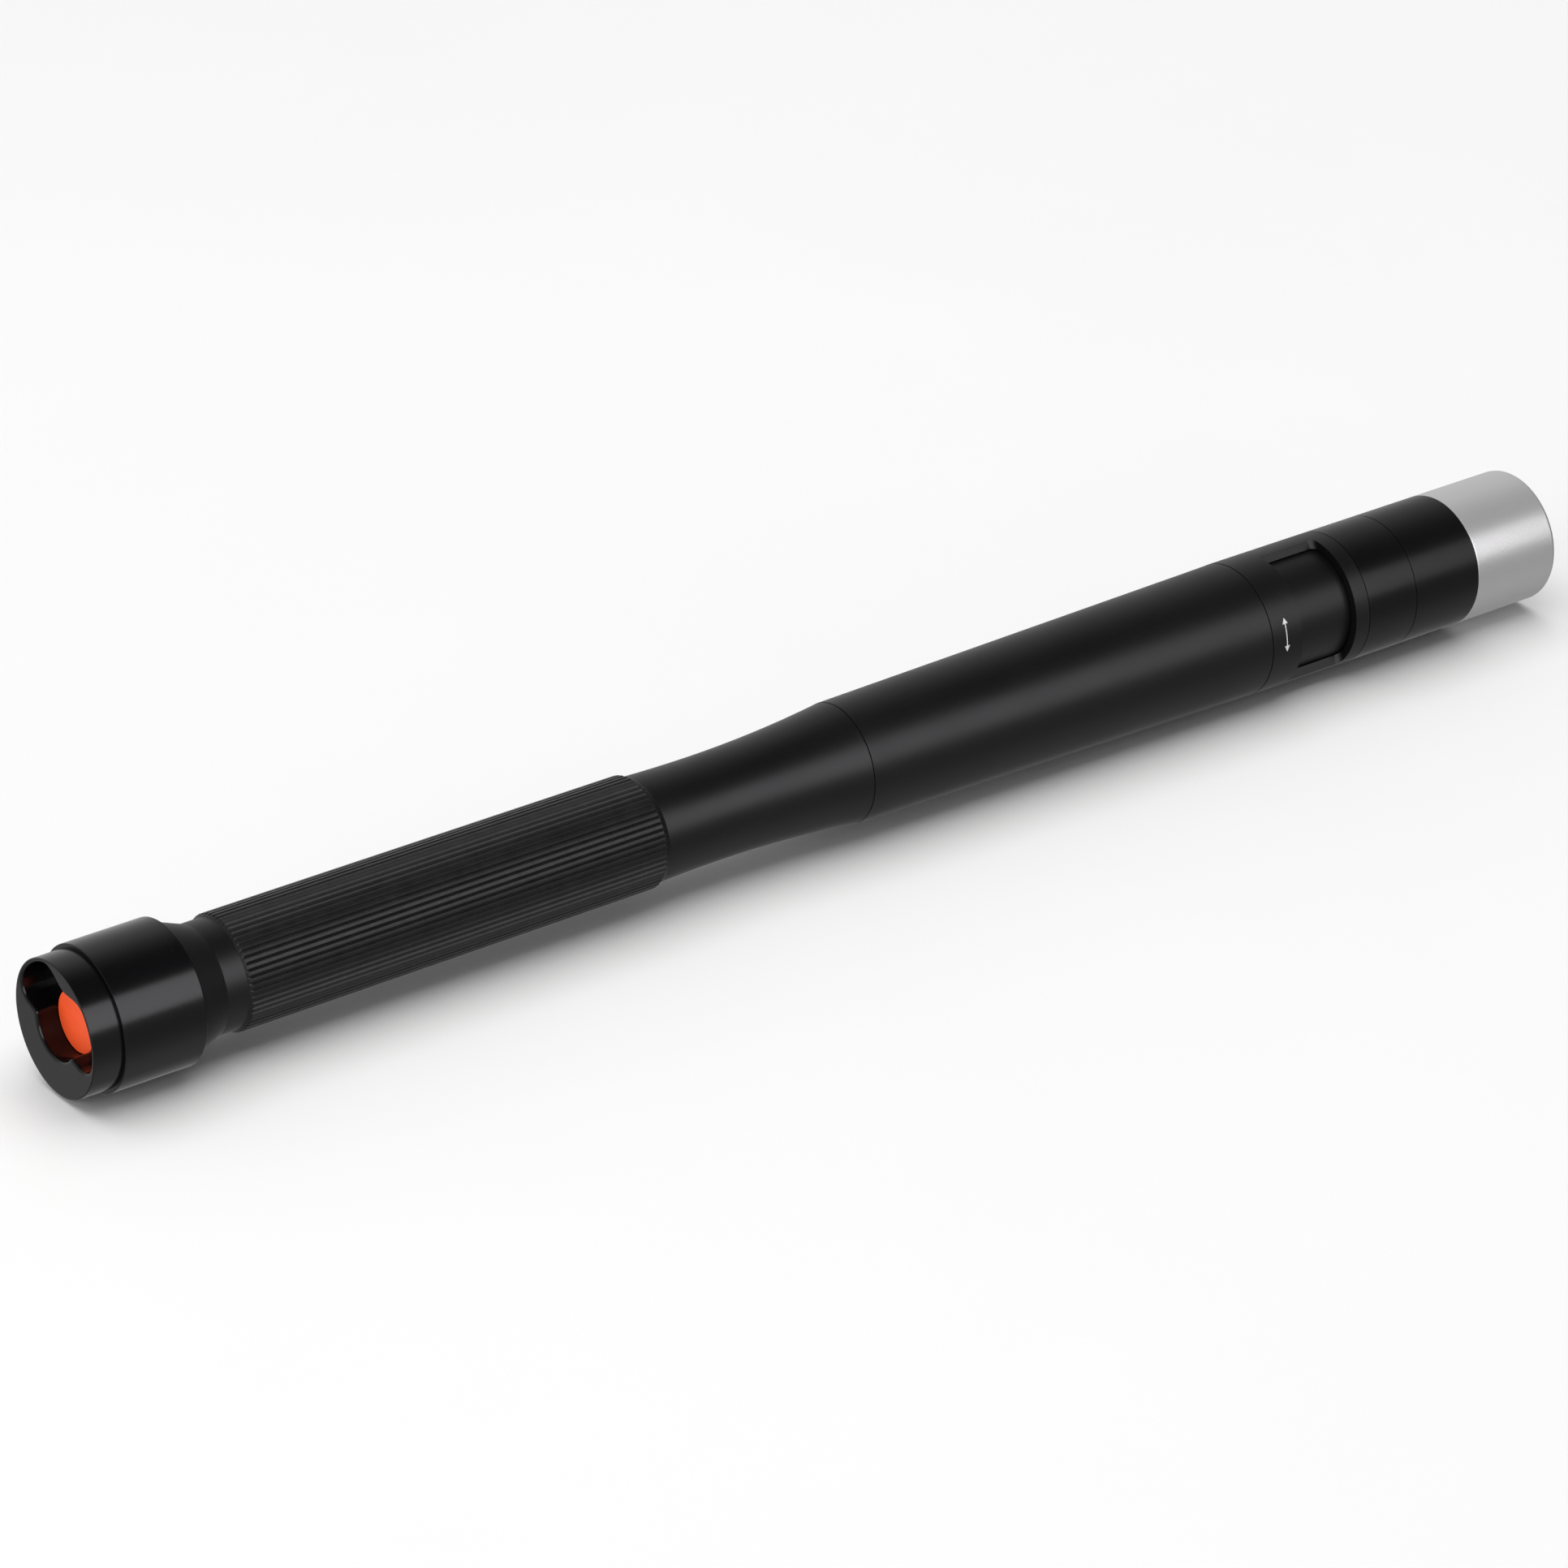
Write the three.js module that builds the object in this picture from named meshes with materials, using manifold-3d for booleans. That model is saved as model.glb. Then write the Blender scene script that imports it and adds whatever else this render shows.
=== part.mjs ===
// A long-handled flashlight with a tail switch, a ribbed grip and a turning port cover.
// Millimetres, +Z up. It lies along X, tail at -X and lamp at +X, with the floor at Z = 0.
// "Station" is the distance from the tail face along the axis. A clock angle turns about +X from +Z to -Y.
import * as THREE from 'three';
import { mergeVertices } from 'three/addons/utils/BufferGeometryUtils.js';
import Module from 'manifold-3d';

const wasm = await Module();
wasm.setup();

// Facets of the turned pieces; a flat facet lies underneath, so the torch doesn't roll away
const SIDES = 32;
const INNER_SIDES = 16;
const SMALL_SIDES = 8;

// Clearances
const SEAM = 0.3;              // joint line between two turned casings
const SEAT = 0.3;              // along the axis, where one piece rests on the next
const FIT = 0.3;               // round a piece that slides or screws into another
const CELL_FIT = 0.5;          // round the cells, which drop in loosely
const SEAL_GAP = 0.15;         // between a seal, its groove and the bore round it

// Tail cap
const COLLAR_RADIUS = 15.45;
const COLLAR_LENGTH = 7.2;
const COLLAR_ROUND = 0.5;
const CAP_RADIUS = 16.4;
const CAP_LENGTH = 19.9;
const CAP_ROUND = 0.7;
const CAP_WALL = 2.3;
const END_WALL = 7.0;
const SWITCH_BORE = 11.7;

// Thumb opening in the tail face: two lobes with a tooth between them
const LOBE_CLOCK = 21;         // clock angle of the tooth
const LOBE_DEPTH = 6.0;
const LOBE_REACH = 14.4;
const TOOTH_REACH = 11.3;
const LOBE_START = 33;         // degrees from the tooth to the lobe's full reach
const LOBE_CORNER = 4.0;       // round corner at the far end of each lobe
const LOBE_SHELF = 1.75;       // from the axis to the straight side of the lobes, opposite the tooth
const RIM_CHAMFER = 0.4;       // all round the opening

// Push button and click switch
const BUTTON_RADIUS = 6.9;
const BUTTON_DEPTH = 5.2;      // its face, below the tail face
const BUTTON_ROUND = 0.5;
const BUTTON_FLANGE = 1.6;
const BUTTON_FLANGE_THICKNESS = 0.9;
const BUTTON_TRAVEL = 1.5;
const STEM_RADIUS = 1.8;
const STEM_ENGAGE = 1.1;
const SWITCH_WIDTH = 8.4;
const SWITCH_FLOOR = 1.3;
const SWITCH_BOARD_THICKNESS = 1.2;
const RETAINER_LENGTH = 1.8;
const RETAINER_BORE = 8.0;

// Springs
const TAIL_SPRING_LENGTH = 11.2;
const TAIL_SPRING_RADIUS = 5.4;
const TAIL_SPRING_TURNS = 5;
const CONTACT_SPRING_LENGTH = 5.0;
const CONTACT_SPRING_RADIUS = 3.6;
const CONTACT_SPRING_TURNS = 3;
const WIRE_RADIUS = 0.45;
const TURN_STEPS = 8;
const WIRE_SIDES = 5;

// Steps along curved outlines
const LEAD_STEPS = 14;
const LEAD_CORNERS = 3;        // per half turn of a wire's section
const OPENING_STEPS = 4;
const CORNER_STEPS = 2;
const CRADLE_STEPS = 8;
const WAIST_STEPS = 6;
const REFLECTOR_STEPS = 5;
const DOME_COLUMNS = 10;
const DOME_ROWS = 6;

// Cells
const CELL_COUNT = 3;
const CELL_RADIUS = 9.2;
const CELL_LENGTH = 65;
const CELL_CHAMFER = 0.7;
const NUB_RADIUS = 3.0;
const NUB_HEIGHT = 1.2;

// Handle tube and its ribbed sleeve
const FLARE_RADIUS = 15.2;
const FLARE_LENGTH = 7.3;
const NECK_RADIUS = 12.45;
const NECK_LENGTH = 5.2;
const GRIP_RADIUS = 13.18;
const GRIP_LENGTH = 109.1;
const BED_WALL = 1.6;
const RIB_COUNT = 56;
const GROOVE_WIDTH = 0.55;
const GROOVE_DEPTH = 0.55;
const GRIP_CHAMFER = 0.45;
const WAIST_REAR_RADIUS = 12.3;
const WAIST_RADIUS = 11.95;
const WAIST_SETBACK = 17;      // from the grip to the slimmest place
const WAIST_LENGTH = 54.5;
const HANDLE_END_RADIUS = 14.1;
const HANDLE_THREAD_RADIUS = 11.6;
const HANDLE_THREAD_LENGTH = 11.0;

// Barrel and the cell contact in it
const BARREL_REAR_RADIUS = 14.15;
const BARREL_FRONT_RADIUS = 15.95;
const BARREL_LENGTH = 115.1;
const CONTACT_BOARD_THICKNESS = 1.6;
const SPACER_LENGTH = 8.0;     // at least this much between the handle's thread and the contact board
const SHOULDER_THICKNESS = 2.0;
const SHOULDER_BORE = 9.0;

// Port ring, port body and charging socket
const HEAD_RADIUS = 16.0;      // ring, flange, head and bezel
const RING_LENGTH = 29.5;
const RING_WALL = 1.9;
const WINDOW_MARGIN = 8.8;     // from the ring's rear edge
const WINDOW_LENGTH = 16.6;
const WINDOW_CLOCK = 67.3;     // where the window faces with the socket covered
const WINDOW_PLANE = 5.6;      // how far from the axis the milling cutter stopped
const WINDOW_CORNER = 1.6;     // left by the round cutter at the window's front and rear walls
const RING_SEAL_MARGIN = 4.4;
const FRONT_SEAL_MARGIN = 2.0;
const PORT_THREAD_RADIUS = 12.9;
const PORT_THREAD_LENGTH = 14.0;
const PORT_BORE = 10.8;
const FLANGE_LENGTH = 14.5;
const SOCKET_LENGTH = 7.6;
const SOCKET_WIDTH = 2.9;
const SOCKET_CORNER = 0.9;
const SOCKET_WALL = 0.35;
const SOCKET_FLOOR = 1.0;
const SOCKET_RECESS = 0.4;     // below the port body's surface
const TONGUE_LENGTH = 4.6;
const TONGUE_THICKNESS = 0.7;
const TONGUE_RECESS = 1.0;

// Driver board and its cradle
const BOARD_LENGTH = 48;
const BOARD_WIDTH = 14;
const BOARD_THICKNESS = 1.6;
const BOARD_OFFSET = 5.7;      // its inner face, from the axis
const BOARD_FRONT = 7.0;       // its front edge, ahead of the socket
const CRADLE_HOLE = 4.0;
const CRADLE_HOLE_OFFSET = 1.5;
const COIL_RADIUS = 3.0;
const COIL_HEIGHT = 2.6;
const COIL_SETBACK = 4.5;      // from the board's rear edge
const CHIP_WIDTH = 5.0;
const CHIP_HEIGHT = 1.2;
const CHIP_SETBACK = 22;
const LEAD_RADIUS = 0.8;
const LEAD_STRAIGHT = 12;
const LEAD_SPREAD = 4.0;       // of the lamp's leads, from the middle of the board

// Head
const HEAD_LENGTH = 19.3;
const HEAD_SOCKET_RADIUS = 13.5;
const HEAD_FRONT_BORE = 12.0;
const PORT_NOSE_LENGTH = 8.5;  // the port body's thread inside the head
const HEAD_THREAD_RADIUS = 14.6;
const HEAD_THREAD_LENGTH = 7.0;
const HEAT_SINK_THICKNESS = 5.7;
const LED_BOARD_RADIUS = 10.0;
const LED_BOARD_THICKNESS = 1.6;
const LED_WIDTH = 5.0;
const LED_BASE = 0.8;
const LED_DOME = 2.0;
const SPACER_WIDTH = 2.1;
const SPACER_THICKNESS = 1.9;
const SCREW_CIRCLE = 8.0;
const SCREW_RADIUS = 0.9;
const SCREW_DEPTH = 3.5;       // into the heat sink
const SCREW_HEAD_RADIUS = 1.6;
const SCREW_HEAD_HEIGHT = 1.2;

// Bezel, reflector and lens
const BEZEL_LENGTH = 24.8;
const BEZEL_ROUND = 0.9;
const LIP_RADIUS = 13.2;
const LIP_THICKNESS = 2.4;
const LIP_CHAMFER = 0.5;
const LENS_THICKNESS = 2.0;
const GASKET_THICKNESS = 0.8;
const REFLECTOR_RADIUS = 13.4;
const REFLECTOR_WALL = 0.9;
const REFLECTOR_FLANGE = 1.7;
const REFLECTOR_CROWD = 1.6;   // crowds the outline's points towards the lamp, where it curves most

// Seals
const SEAL_DEPTH = 1.2;
const SEAL_WIDTH = 2.0;
const SEAL_SETBACK = 2.6;      // from the shoulder of a thread to the middle of its seal
const SEAL_SIDES = 4;

// Stations of the casings
const capStart = COLLAR_LENGTH;
const capEnd = capStart + CAP_LENGTH;
const handleStart = capEnd + SEAM;
const flareEnd = handleStart + FLARE_LENGTH;
const gripStart = flareEnd + NECK_LENGTH;
const gripEnd = gripStart + GRIP_LENGTH;
const handleEnd = gripEnd + WAIST_LENGTH;
const handleThreadEnd = handleEnd + HANDLE_THREAD_LENGTH;
const barrelStart = handleEnd + SEAM;
const barrelEnd = barrelStart + BARREL_LENGTH;
const ringStart = barrelEnd + SEAM;
const ringEnd = ringStart + RING_LENGTH;
const flangeStart = ringEnd + SEAM;
const flangeEnd = flangeStart + FLANGE_LENGTH;
const headStart = flangeEnd + SEAM;
const headEnd = headStart + HEAD_LENGTH;
const bezelStart = headEnd + SEAM;
const bezelEnd = bezelStart + BEZEL_LENGTH;

// Stations of the switch, from the button inwards
const flangeFront = END_WALL + SEAT;
const flangeBack = flangeFront + BUTTON_FLANGE_THICKNESS;
const switchFront = flangeBack + BUTTON_TRAVEL + SEAT;
const stemHole = STEM_ENGAGE + BUTTON_TRAVEL + SEAT;
const switchEnd = switchFront + stemHole + SWITCH_FLOOR;
const switchBoardStart = switchEnd + SEAT;
const switchBoardEnd = switchBoardStart + SWITCH_BOARD_THICKNESS;
const retainerStart = switchBoardEnd + SEAT;
const retainerEnd = retainerStart + RETAINER_LENGTH;
const capThreadStart = retainerEnd + SEAT;
const tailThreadStart = capThreadStart + SEAT;

// Stations of the cells and the contact ahead of them
const tailSpringStart = switchBoardEnd + SEAT;
const tailSpringEnd = tailSpringStart + TAIL_SPRING_LENGTH;
const cellStart = tailSpringEnd + SEAT;
const cellPitch = CELL_LENGTH + SEAT;
const cellsEnd = cellStart + CELL_COUNT * cellPitch - SEAT;
const contactBoardStart = Math.max(
  cellsEnd + CONTACT_SPRING_LENGTH + 2 * SEAT,
  handleThreadEnd + SPACER_LENGTH + 2 * SEAT,
);
const contactBoardEnd = contactBoardStart + CONTACT_BOARD_THICKNESS;
const shoulderStart = contactBoardEnd + SEAT;
const shoulderEnd = shoulderStart + SHOULDER_THICKNESS;

// Stations of the port and the driver board
const windowStart = ringStart + WINDOW_MARGIN;
const socketStation = windowStart + WINDOW_LENGTH / 2;
const portStart = ringStart - PORT_THREAD_LENGTH;
const portNoseEnd = flangeEnd + PORT_NOSE_LENGTH;
const boardFront = socketStation + BOARD_FRONT;
const boardRear = boardFront - BOARD_LENGTH;
const boardOuter = BOARD_OFFSET + BOARD_THICKNESS;
const boardMiddle = BOARD_OFFSET + BOARD_THICKNESS / 2;

// Stations of the lamp
const heatSinkStart = portNoseEnd + SEAT;
const heatSinkEnd = heatSinkStart + HEAT_SINK_THICKNESS;
const ledBoardStart = heatSinkEnd + SEAT;
const ledBoardEnd = ledBoardStart + LED_BOARD_THICKNESS;
const ledStart = ledBoardEnd + SEAT;
const ledSpacerEnd = ledStart + SPACER_THICKNESS;
const reflectorStart = ledSpacerEnd + SEAT;
const lipStart = bezelEnd - LIP_THICKNESS;
const gasketStart = lipStart - SEAT - GASKET_THICKNESS;
const lensStart = gasketStart - SEAT - LENS_THICKNESS;
const reflectorEnd = lensStart - SEAT;

// Radii that follow from their neighbours
const buttonBore = BUTTON_RADIUS + FIT;
const switchRadius = SWITCH_BORE - FIT;
const capBore = CAP_RADIUS - CAP_WALL;
const tailThreadRadius = capBore - FIT;
const cellBore = CELL_RADIUS + CELL_FIT;
const bedRadius = cellBore + BED_WALL;
const barrelRearBore = HANDLE_THREAD_RADIUS + FIT;
const barrelBore = PORT_THREAD_RADIUS + FIT;
const ringBore = HEAD_RADIUS - RING_WALL;
const sleeveRadius = ringBore - FIT;
const noseRadius = HEAD_SOCKET_RADIUS - FIT;
const bezelBore = HEAD_THREAD_RADIUS + FIT;
const socketMouth = sleeveRadius - SOCKET_RECESS;
const socketClock = WINDOW_CLOCK + 180;

const radians = THREE.MathUtils.degToRad;

// Finishes
function finish(color, roughness, metalness) {
  return () => new THREE.MeshStandardMaterial({ color, roughness, metalness });
}

const blackAnodised = finish(0x17181a, 0.42, 0.75);
const satinSilver = finish(0xb9bcc0, 0.38, 0.95);
const orangeRubber = finish(0xe2501f, 0.6, 0);
const blackRubber = finish(0x111112, 0.8, 0);
const blackPlastic = finish(0x1c1c1e, 0.55, 0);
const whitePlastic = finish(0xe6e4de, 0.5, 0);
const greenBoard = finish(0x1d5a38, 0.5, 0.1);
const whiteBoard = finish(0xe8e8e6, 0.4, 0.2);
const brass = finish(0xc79a46, 0.35, 0.9);
const steel = finish(0xa8abae, 0.3, 1);
const aluminium = finish(0xc4c7ca, 0.35, 0.9);
const mirrorCoat = finish(0xeef0f2, 0.06, 1);
const cellWrap = finish(0x2f6f9e, 0.45, 0);
const yellowPhosphor = finish(0xe8c93c, 0.35, 0);
const clearGlass = finish(0xe8f0f0, 0.05, 0);
const redWire = finish(0xb3201c, 0.5, 0);
const blackWire = finish(0x141414, 0.5, 0);

// A geometry with only positions, shared vertices merged and no empty triangles
function welded(source) {
  const geometry = source.clone();
  geometry.deleteAttribute('normal');
  geometry.deleteAttribute('uv');
  const merged = mergeVertices(geometry, 1e-4);
  const index = merged.index.array;
  const kept = [];
  for (let i = 0; i < index.length; i += 3) {
    const [a, b, c] = index.slice(i, i + 3);
    if (a !== b && b !== c && c !== a) {
      kept.push(a, b, c);
    }
  }
  merged.setIndex(kept);
  merged.computeVertexNormals();
  return merged;
}

function solid(source) {
  const geometry = welded(source);
  return new wasm.Manifold(new wasm.Mesh({
    numProp: 3,
    vertProperties: new Float32Array(geometry.attributes.position.array),
    triVerts: new Uint32Array(geometry.index.array),
  }));
}

function surface(body) {
  const mesh = body.getMesh();
  const geometry = new THREE.BufferGeometry();
  geometry.setAttribute('position', new THREE.BufferAttribute(mesh.vertProperties, 3));
  geometry.setIndex(new THREE.BufferAttribute(mesh.triVerts, 1));
  geometry.computeVertexNormals();
  return geometry;
}

function cut(source, ...tools) {
  return surface(tools.reduce((body, tool) => body.subtract(solid(tool)), solid(source)));
}

// A turned piece: [station, radius] points, outside from tail to head, then inside back again
function turned(profile, sides = SIDES) {
  const points = profile.map(([station, radius]) => new THREE.Vector2(radius, station));
  if (profile[0][1] > 0) {
    points.push(points[0].clone());
  }
  const geometry = new THREE.LatheGeometry(points, sides, Math.PI / sides);
  return geometry.rotateZ(-Math.PI / 2);
}

// Points of a round edge: 180 degrees faces the tail, 90 outwards, 0 the head
function round(station, radius, size, from, to, steps = 2) {
  const points = [];
  for (let i = 0; i <= steps; i += 1) {
    const angle = radians(from + ((to - from) * i) / steps);
    points.push([station + size * Math.cos(angle), radius + size * Math.sin(angle)]);
  }
  return points;
}

function tube(start, end, outer, inner, sides = SIDES) {
  return turned([[start, outer], [end, outer], [end, inner], [start, inner]], sides);
}

function disc(start, end, radius, sides = SIDES) {
  return turned([[start, 0], [start, radius], [end, radius], [end, 0]], sides);
}

// The groove of a seal, as stretch of a thread's outline, and the seal that lies in it
function sealGroove(station, radius) {
  const [rear, front] = [station - SEAL_WIDTH / 2, station + SEAL_WIDTH / 2];
  const floor = radius - SEAL_DEPTH;
  return [[rear, radius], [rear, floor], [front, floor], [front, radius]];
}

function seal(station, radius) {
  const section = (SEAL_DEPTH + FIT) / 2 - SEAL_GAP;
  const middle = radius + FIT - SEAL_GAP - section;
  const profile = round(station, middle, section, 180, -180, SEAL_SIDES);
  return turned(profile.slice(0, -1));
}

// An outline in the cross-section, its x towards clock angle 0 and its y towards 90, pulled along the axis
const alongAxis = new THREE.Matrix4().makeBasis(
  new THREE.Vector3(0, 0, 1),
  new THREE.Vector3(0, -1, 0),
  new THREE.Vector3(1, 0, 0),
);

function prism(shape, start, end, curveSegments) {
  const depth = end - start;
  const geometry = new THREE.ExtrudeGeometry(shape, { depth, curveSegments, bevelEnabled: false });
  return geometry.applyMatrix4(alongAxis).translate(start, 0, 0);
}

// A cutter that leaves a chamfer where an outline's opening meets a face that looks towards the tail
function rimCutter(shape, face, chamfer, curveSegments) {
  const geometry = new THREE.ExtrudeGeometry(shape, {
    depth: chamfer,
    curveSegments,
    bevelThickness: chamfer,
    bevelSize: chamfer,
    bevelSegments: 1,
  });
  return geometry.applyMatrix4(alongAxis).translate(face - chamfer, 0, 0);
}

function roundedRectangle(length, width, corner) {
  const [x, y] = [length / 2 - corner, width / 2 - corner];
  const shape = new THREE.Shape();
  shape.absarc(x, y, corner, 0, Math.PI / 2, false);
  shape.absarc(-x, y, corner, Math.PI / 2, Math.PI, false);
  shape.absarc(-x, -y, corner, Math.PI, 1.5 * Math.PI, false);
  shape.absarc(x, -y, corner, 1.5 * Math.PI, 2 * Math.PI, false);
  return shape;
}

// A rounded rectangle's first side lies along the axis; this pulls it to the given depth, centred on z = 0
function roundedBlock(length, width, corner, depth) {
  const options = { depth, curveSegments: CORNER_STEPS, bevelEnabled: false };
  const geometry = new THREE.ExtrudeGeometry(roundedRectangle(length, width, corner), options);
  return geometry.translate(0, 0, -depth / 2);
}

// A block in the electronics' frame: along the axis, across the board, and outwards from the axis
function block(length, width, inner, outer, station) {
  const geometry = new THREE.BoxGeometry(length, width, outer - inner);
  return geometry.translate(station, 0, (inner + outer) / 2);
}

function pin(radius, start, end, across, outward) {
  return disc(start, end, radius, SMALL_SIDES).translate(0, across, outward);
}

const polar = (radius, angle) => [radius * Math.cos(radians(angle)), radius * Math.sin(radians(angle))];

// One wound wire from start to end, with open turns
function spring(name, start, end, radius, turns) {
  const steps = turns * TURN_STEPS;
  const [first, last] = [start + WIRE_RADIUS, end - WIRE_RADIUS];
  const centres = [];
  for (let i = 0; i <= steps; i += 1) {
    const angle = (i / TURN_STEPS) * 2 * Math.PI;
    const station = first + ((last - first) * i) / steps;
    centres.push(new THREE.Vector3(station, -radius * Math.sin(angle), radius * Math.cos(angle)));
  }
  const positions = [];
  centres.forEach((centre) => {
    const outward = new THREE.Vector3(0, centre.y, centre.z).normalize();
    for (let k = 0; k < WIRE_SIDES; k += 1) {
      const angle = (k / WIRE_SIDES) * 2 * Math.PI;
      const point = centre.clone().addScaledVector(outward, WIRE_RADIUS * Math.cos(angle));
      positions.push(point.x + WIRE_RADIUS * Math.sin(angle), point.y, point.z);
    }
  });
  const index = [];
  for (let i = 0; i < steps; i += 1) {
    for (let k = 0; k < WIRE_SIDES; k += 1) {
      const [a, b] = [i * WIRE_SIDES + k, i * WIRE_SIDES + ((k + 1) % WIRE_SIDES)];
      index.push(a, b + WIRE_SIDES, b, a, a + WIRE_SIDES, b + WIRE_SIDES);
    }
  }
  const tail = steps * WIRE_SIDES;
  for (let k = 1; k < WIRE_SIDES - 1; k += 1) {
    index.push(0, k, k + 1, tail, tail + k + 1, tail + k);
  }
  const geometry = new THREE.BufferGeometry();
  geometry.setAttribute('position', new THREE.Float32BufferAttribute(positions, 3));
  geometry.setIndex(index);
  console.log(`${name}: least gap between turns ${leastGap(centres).toFixed(2)} mm`);
  return geometry;
}

function leastGap(centres) {
  let least = Infinity;
  centres.forEach((a, i) => {
    centres.slice(i + TURN_STEPS / 2).forEach((b) => {
      least = Math.min(least, a.distanceTo(b));
    });
  });
  return least - 2 * WIRE_RADIUS;
}

// A wire through the given [station, across, outward] points
function lead(points) {
  const path = new THREE.CatmullRomCurve3(points.map((point) => new THREE.Vector3(...point)));
  const section = new THREE.Shape();
  section.absarc(0, 0, LEAD_RADIUS, 0, 2 * Math.PI);
  return new THREE.ExtrudeGeometry(section, {
    steps: LEAD_STEPS,
    curveSegments: LEAD_CORNERS,
    extrudePath: path,
    bevelEnabled: false,
  });
}

// Both lobes in one outline: from the tooth round one lobe, along the straight side, and round the other
function thumbOutline() {
  const at = (radius, angle) => polar(radius, LOBE_CLOCK + angle);
  const turn = (angle) => radians(LOBE_CLOCK + angle);
  const cornerReach = LOBE_REACH - LOBE_CORNER;
  const cornerTurn = Math.acos((LOBE_CORNER - LOBE_SHELF) / cornerReach);
  const corner = THREE.MathUtils.radToDeg(cornerTurn);
  const [flank, full] = [LOBE_START / 2, LOBE_START];
  const shape = new THREE.Shape();
  shape.moveTo(...at(TOOTH_REACH, 0));
  shape.bezierCurveTo(...at(TOOTH_REACH, flank), ...at(LOBE_REACH, flank), ...at(LOBE_REACH, full));
  shape.absarc(0, 0, LOBE_REACH, turn(full), turn(corner), false);
  shape.absarc(...at(cornerReach, corner), LOBE_CORNER, turn(corner), turn(180), false);
  shape.absarc(...at(cornerReach, -corner), LOBE_CORNER, turn(180), turn(360 - corner), false);
  shape.absarc(0, 0, LOBE_REACH, turn(-corner), turn(-full), false);
  shape.bezierCurveTo(...at(LOBE_REACH, -flank), ...at(TOOTH_REACH, -flank), ...at(TOOTH_REACH, 0));
  return shape;
}

function tailCap() {
  const cap = turned([
    ...round(COLLAR_ROUND, COLLAR_RADIUS - COLLAR_ROUND, COLLAR_ROUND, 180, 90),
    [capStart, COLLAR_RADIUS],
    ...round(capStart + CAP_ROUND, CAP_RADIUS - CAP_ROUND, CAP_ROUND, 180, 90),
    ...round(capEnd - CAP_ROUND, CAP_RADIUS - CAP_ROUND, CAP_ROUND, 90, 0),
    [capEnd, capBore],
    [capThreadStart, capBore],
    [capThreadStart, SWITCH_BORE],
    [END_WALL, SWITCH_BORE],
    [END_WALL, buttonBore],
    [RIM_CHAMFER, buttonBore],
    [0, buttonBore + RIM_CHAMFER],
  ]);
  const lobes = prism(thumbOutline(), -SEAT, LOBE_DEPTH, OPENING_STEPS);
  const rim = rimCutter(thumbOutline(), 0, RIM_CHAMFER, OPENING_STEPS);
  return cut(cap, lobes, rim);
}

function switchButton() {
  const flangeRadius = BUTTON_RADIUS + BUTTON_FLANGE;
  return turned([
    [BUTTON_DEPTH, 0],
    ...round(BUTTON_DEPTH + BUTTON_ROUND, BUTTON_RADIUS - BUTTON_ROUND, BUTTON_ROUND, 180, 90),
    [flangeFront, BUTTON_RADIUS],
    [flangeFront, flangeRadius],
    [flangeBack, flangeRadius],
    [flangeBack, 0],
  ]);
}

function clickSwitch() {
  const body = new THREE.BoxGeometry(switchEnd - switchFront, SWITCH_WIDTH, SWITCH_WIDTH);
  body.translate((switchFront + switchEnd) / 2, 0, 0);
  return cut(body, disc(switchFront - SEAT, switchFront + stemHole, STEM_RADIUS + FIT, INNER_SIDES));
}

function cell(start) {
  const shoulder = start + CELL_LENGTH - NUB_HEIGHT;
  const edge = CELL_RADIUS - CELL_CHAMFER;
  return turned([
    [start, 0],
    [start, edge],
    [start + CELL_CHAMFER, CELL_RADIUS],
    [shoulder - CELL_CHAMFER, CELL_RADIUS],
    [shoulder, edge],
    [shoulder, NUB_RADIUS],
    [start + CELL_LENGTH, NUB_RADIUS],
    [start + CELL_LENGTH, 0],
  ], INNER_SIDES);
}

// The waist falls to its slimmest place behind the grip, then swells to the barrel
function waist() {
  const slim = gripEnd + WAIST_SETBACK;
  const points = [[gripEnd, WAIST_REAR_RADIUS]];
  for (let i = 0; i <= WAIST_STEPS; i += 1) {
    const share = i / WAIST_STEPS;
    const swell = (HANDLE_END_RADIUS - WAIST_RADIUS) * share ** 2;
    points.push([slim + (handleEnd - slim) * share, WAIST_RADIUS + swell]);
  }
  return points;
}

function handleTube() {
  return turned([
    [tailThreadStart, tailThreadRadius],
    ...sealGroove(handleStart - SEAL_SETBACK, tailThreadRadius),
    [handleStart, tailThreadRadius],
    [handleStart, FLARE_RADIUS],
    [flareEnd, NECK_RADIUS],
    [gripStart, NECK_RADIUS],
    [gripStart, bedRadius],
    [gripEnd, bedRadius],
    ...waist(),
    [handleEnd, HANDLE_THREAD_RADIUS],
    ...sealGroove(handleEnd + SEAL_SETBACK, HANDLE_THREAD_RADIUS),
    [handleThreadEnd, HANDLE_THREAD_RADIUS],
    [handleThreadEnd, cellBore],
    [tailThreadStart, cellBore],
  ]);
}

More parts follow.
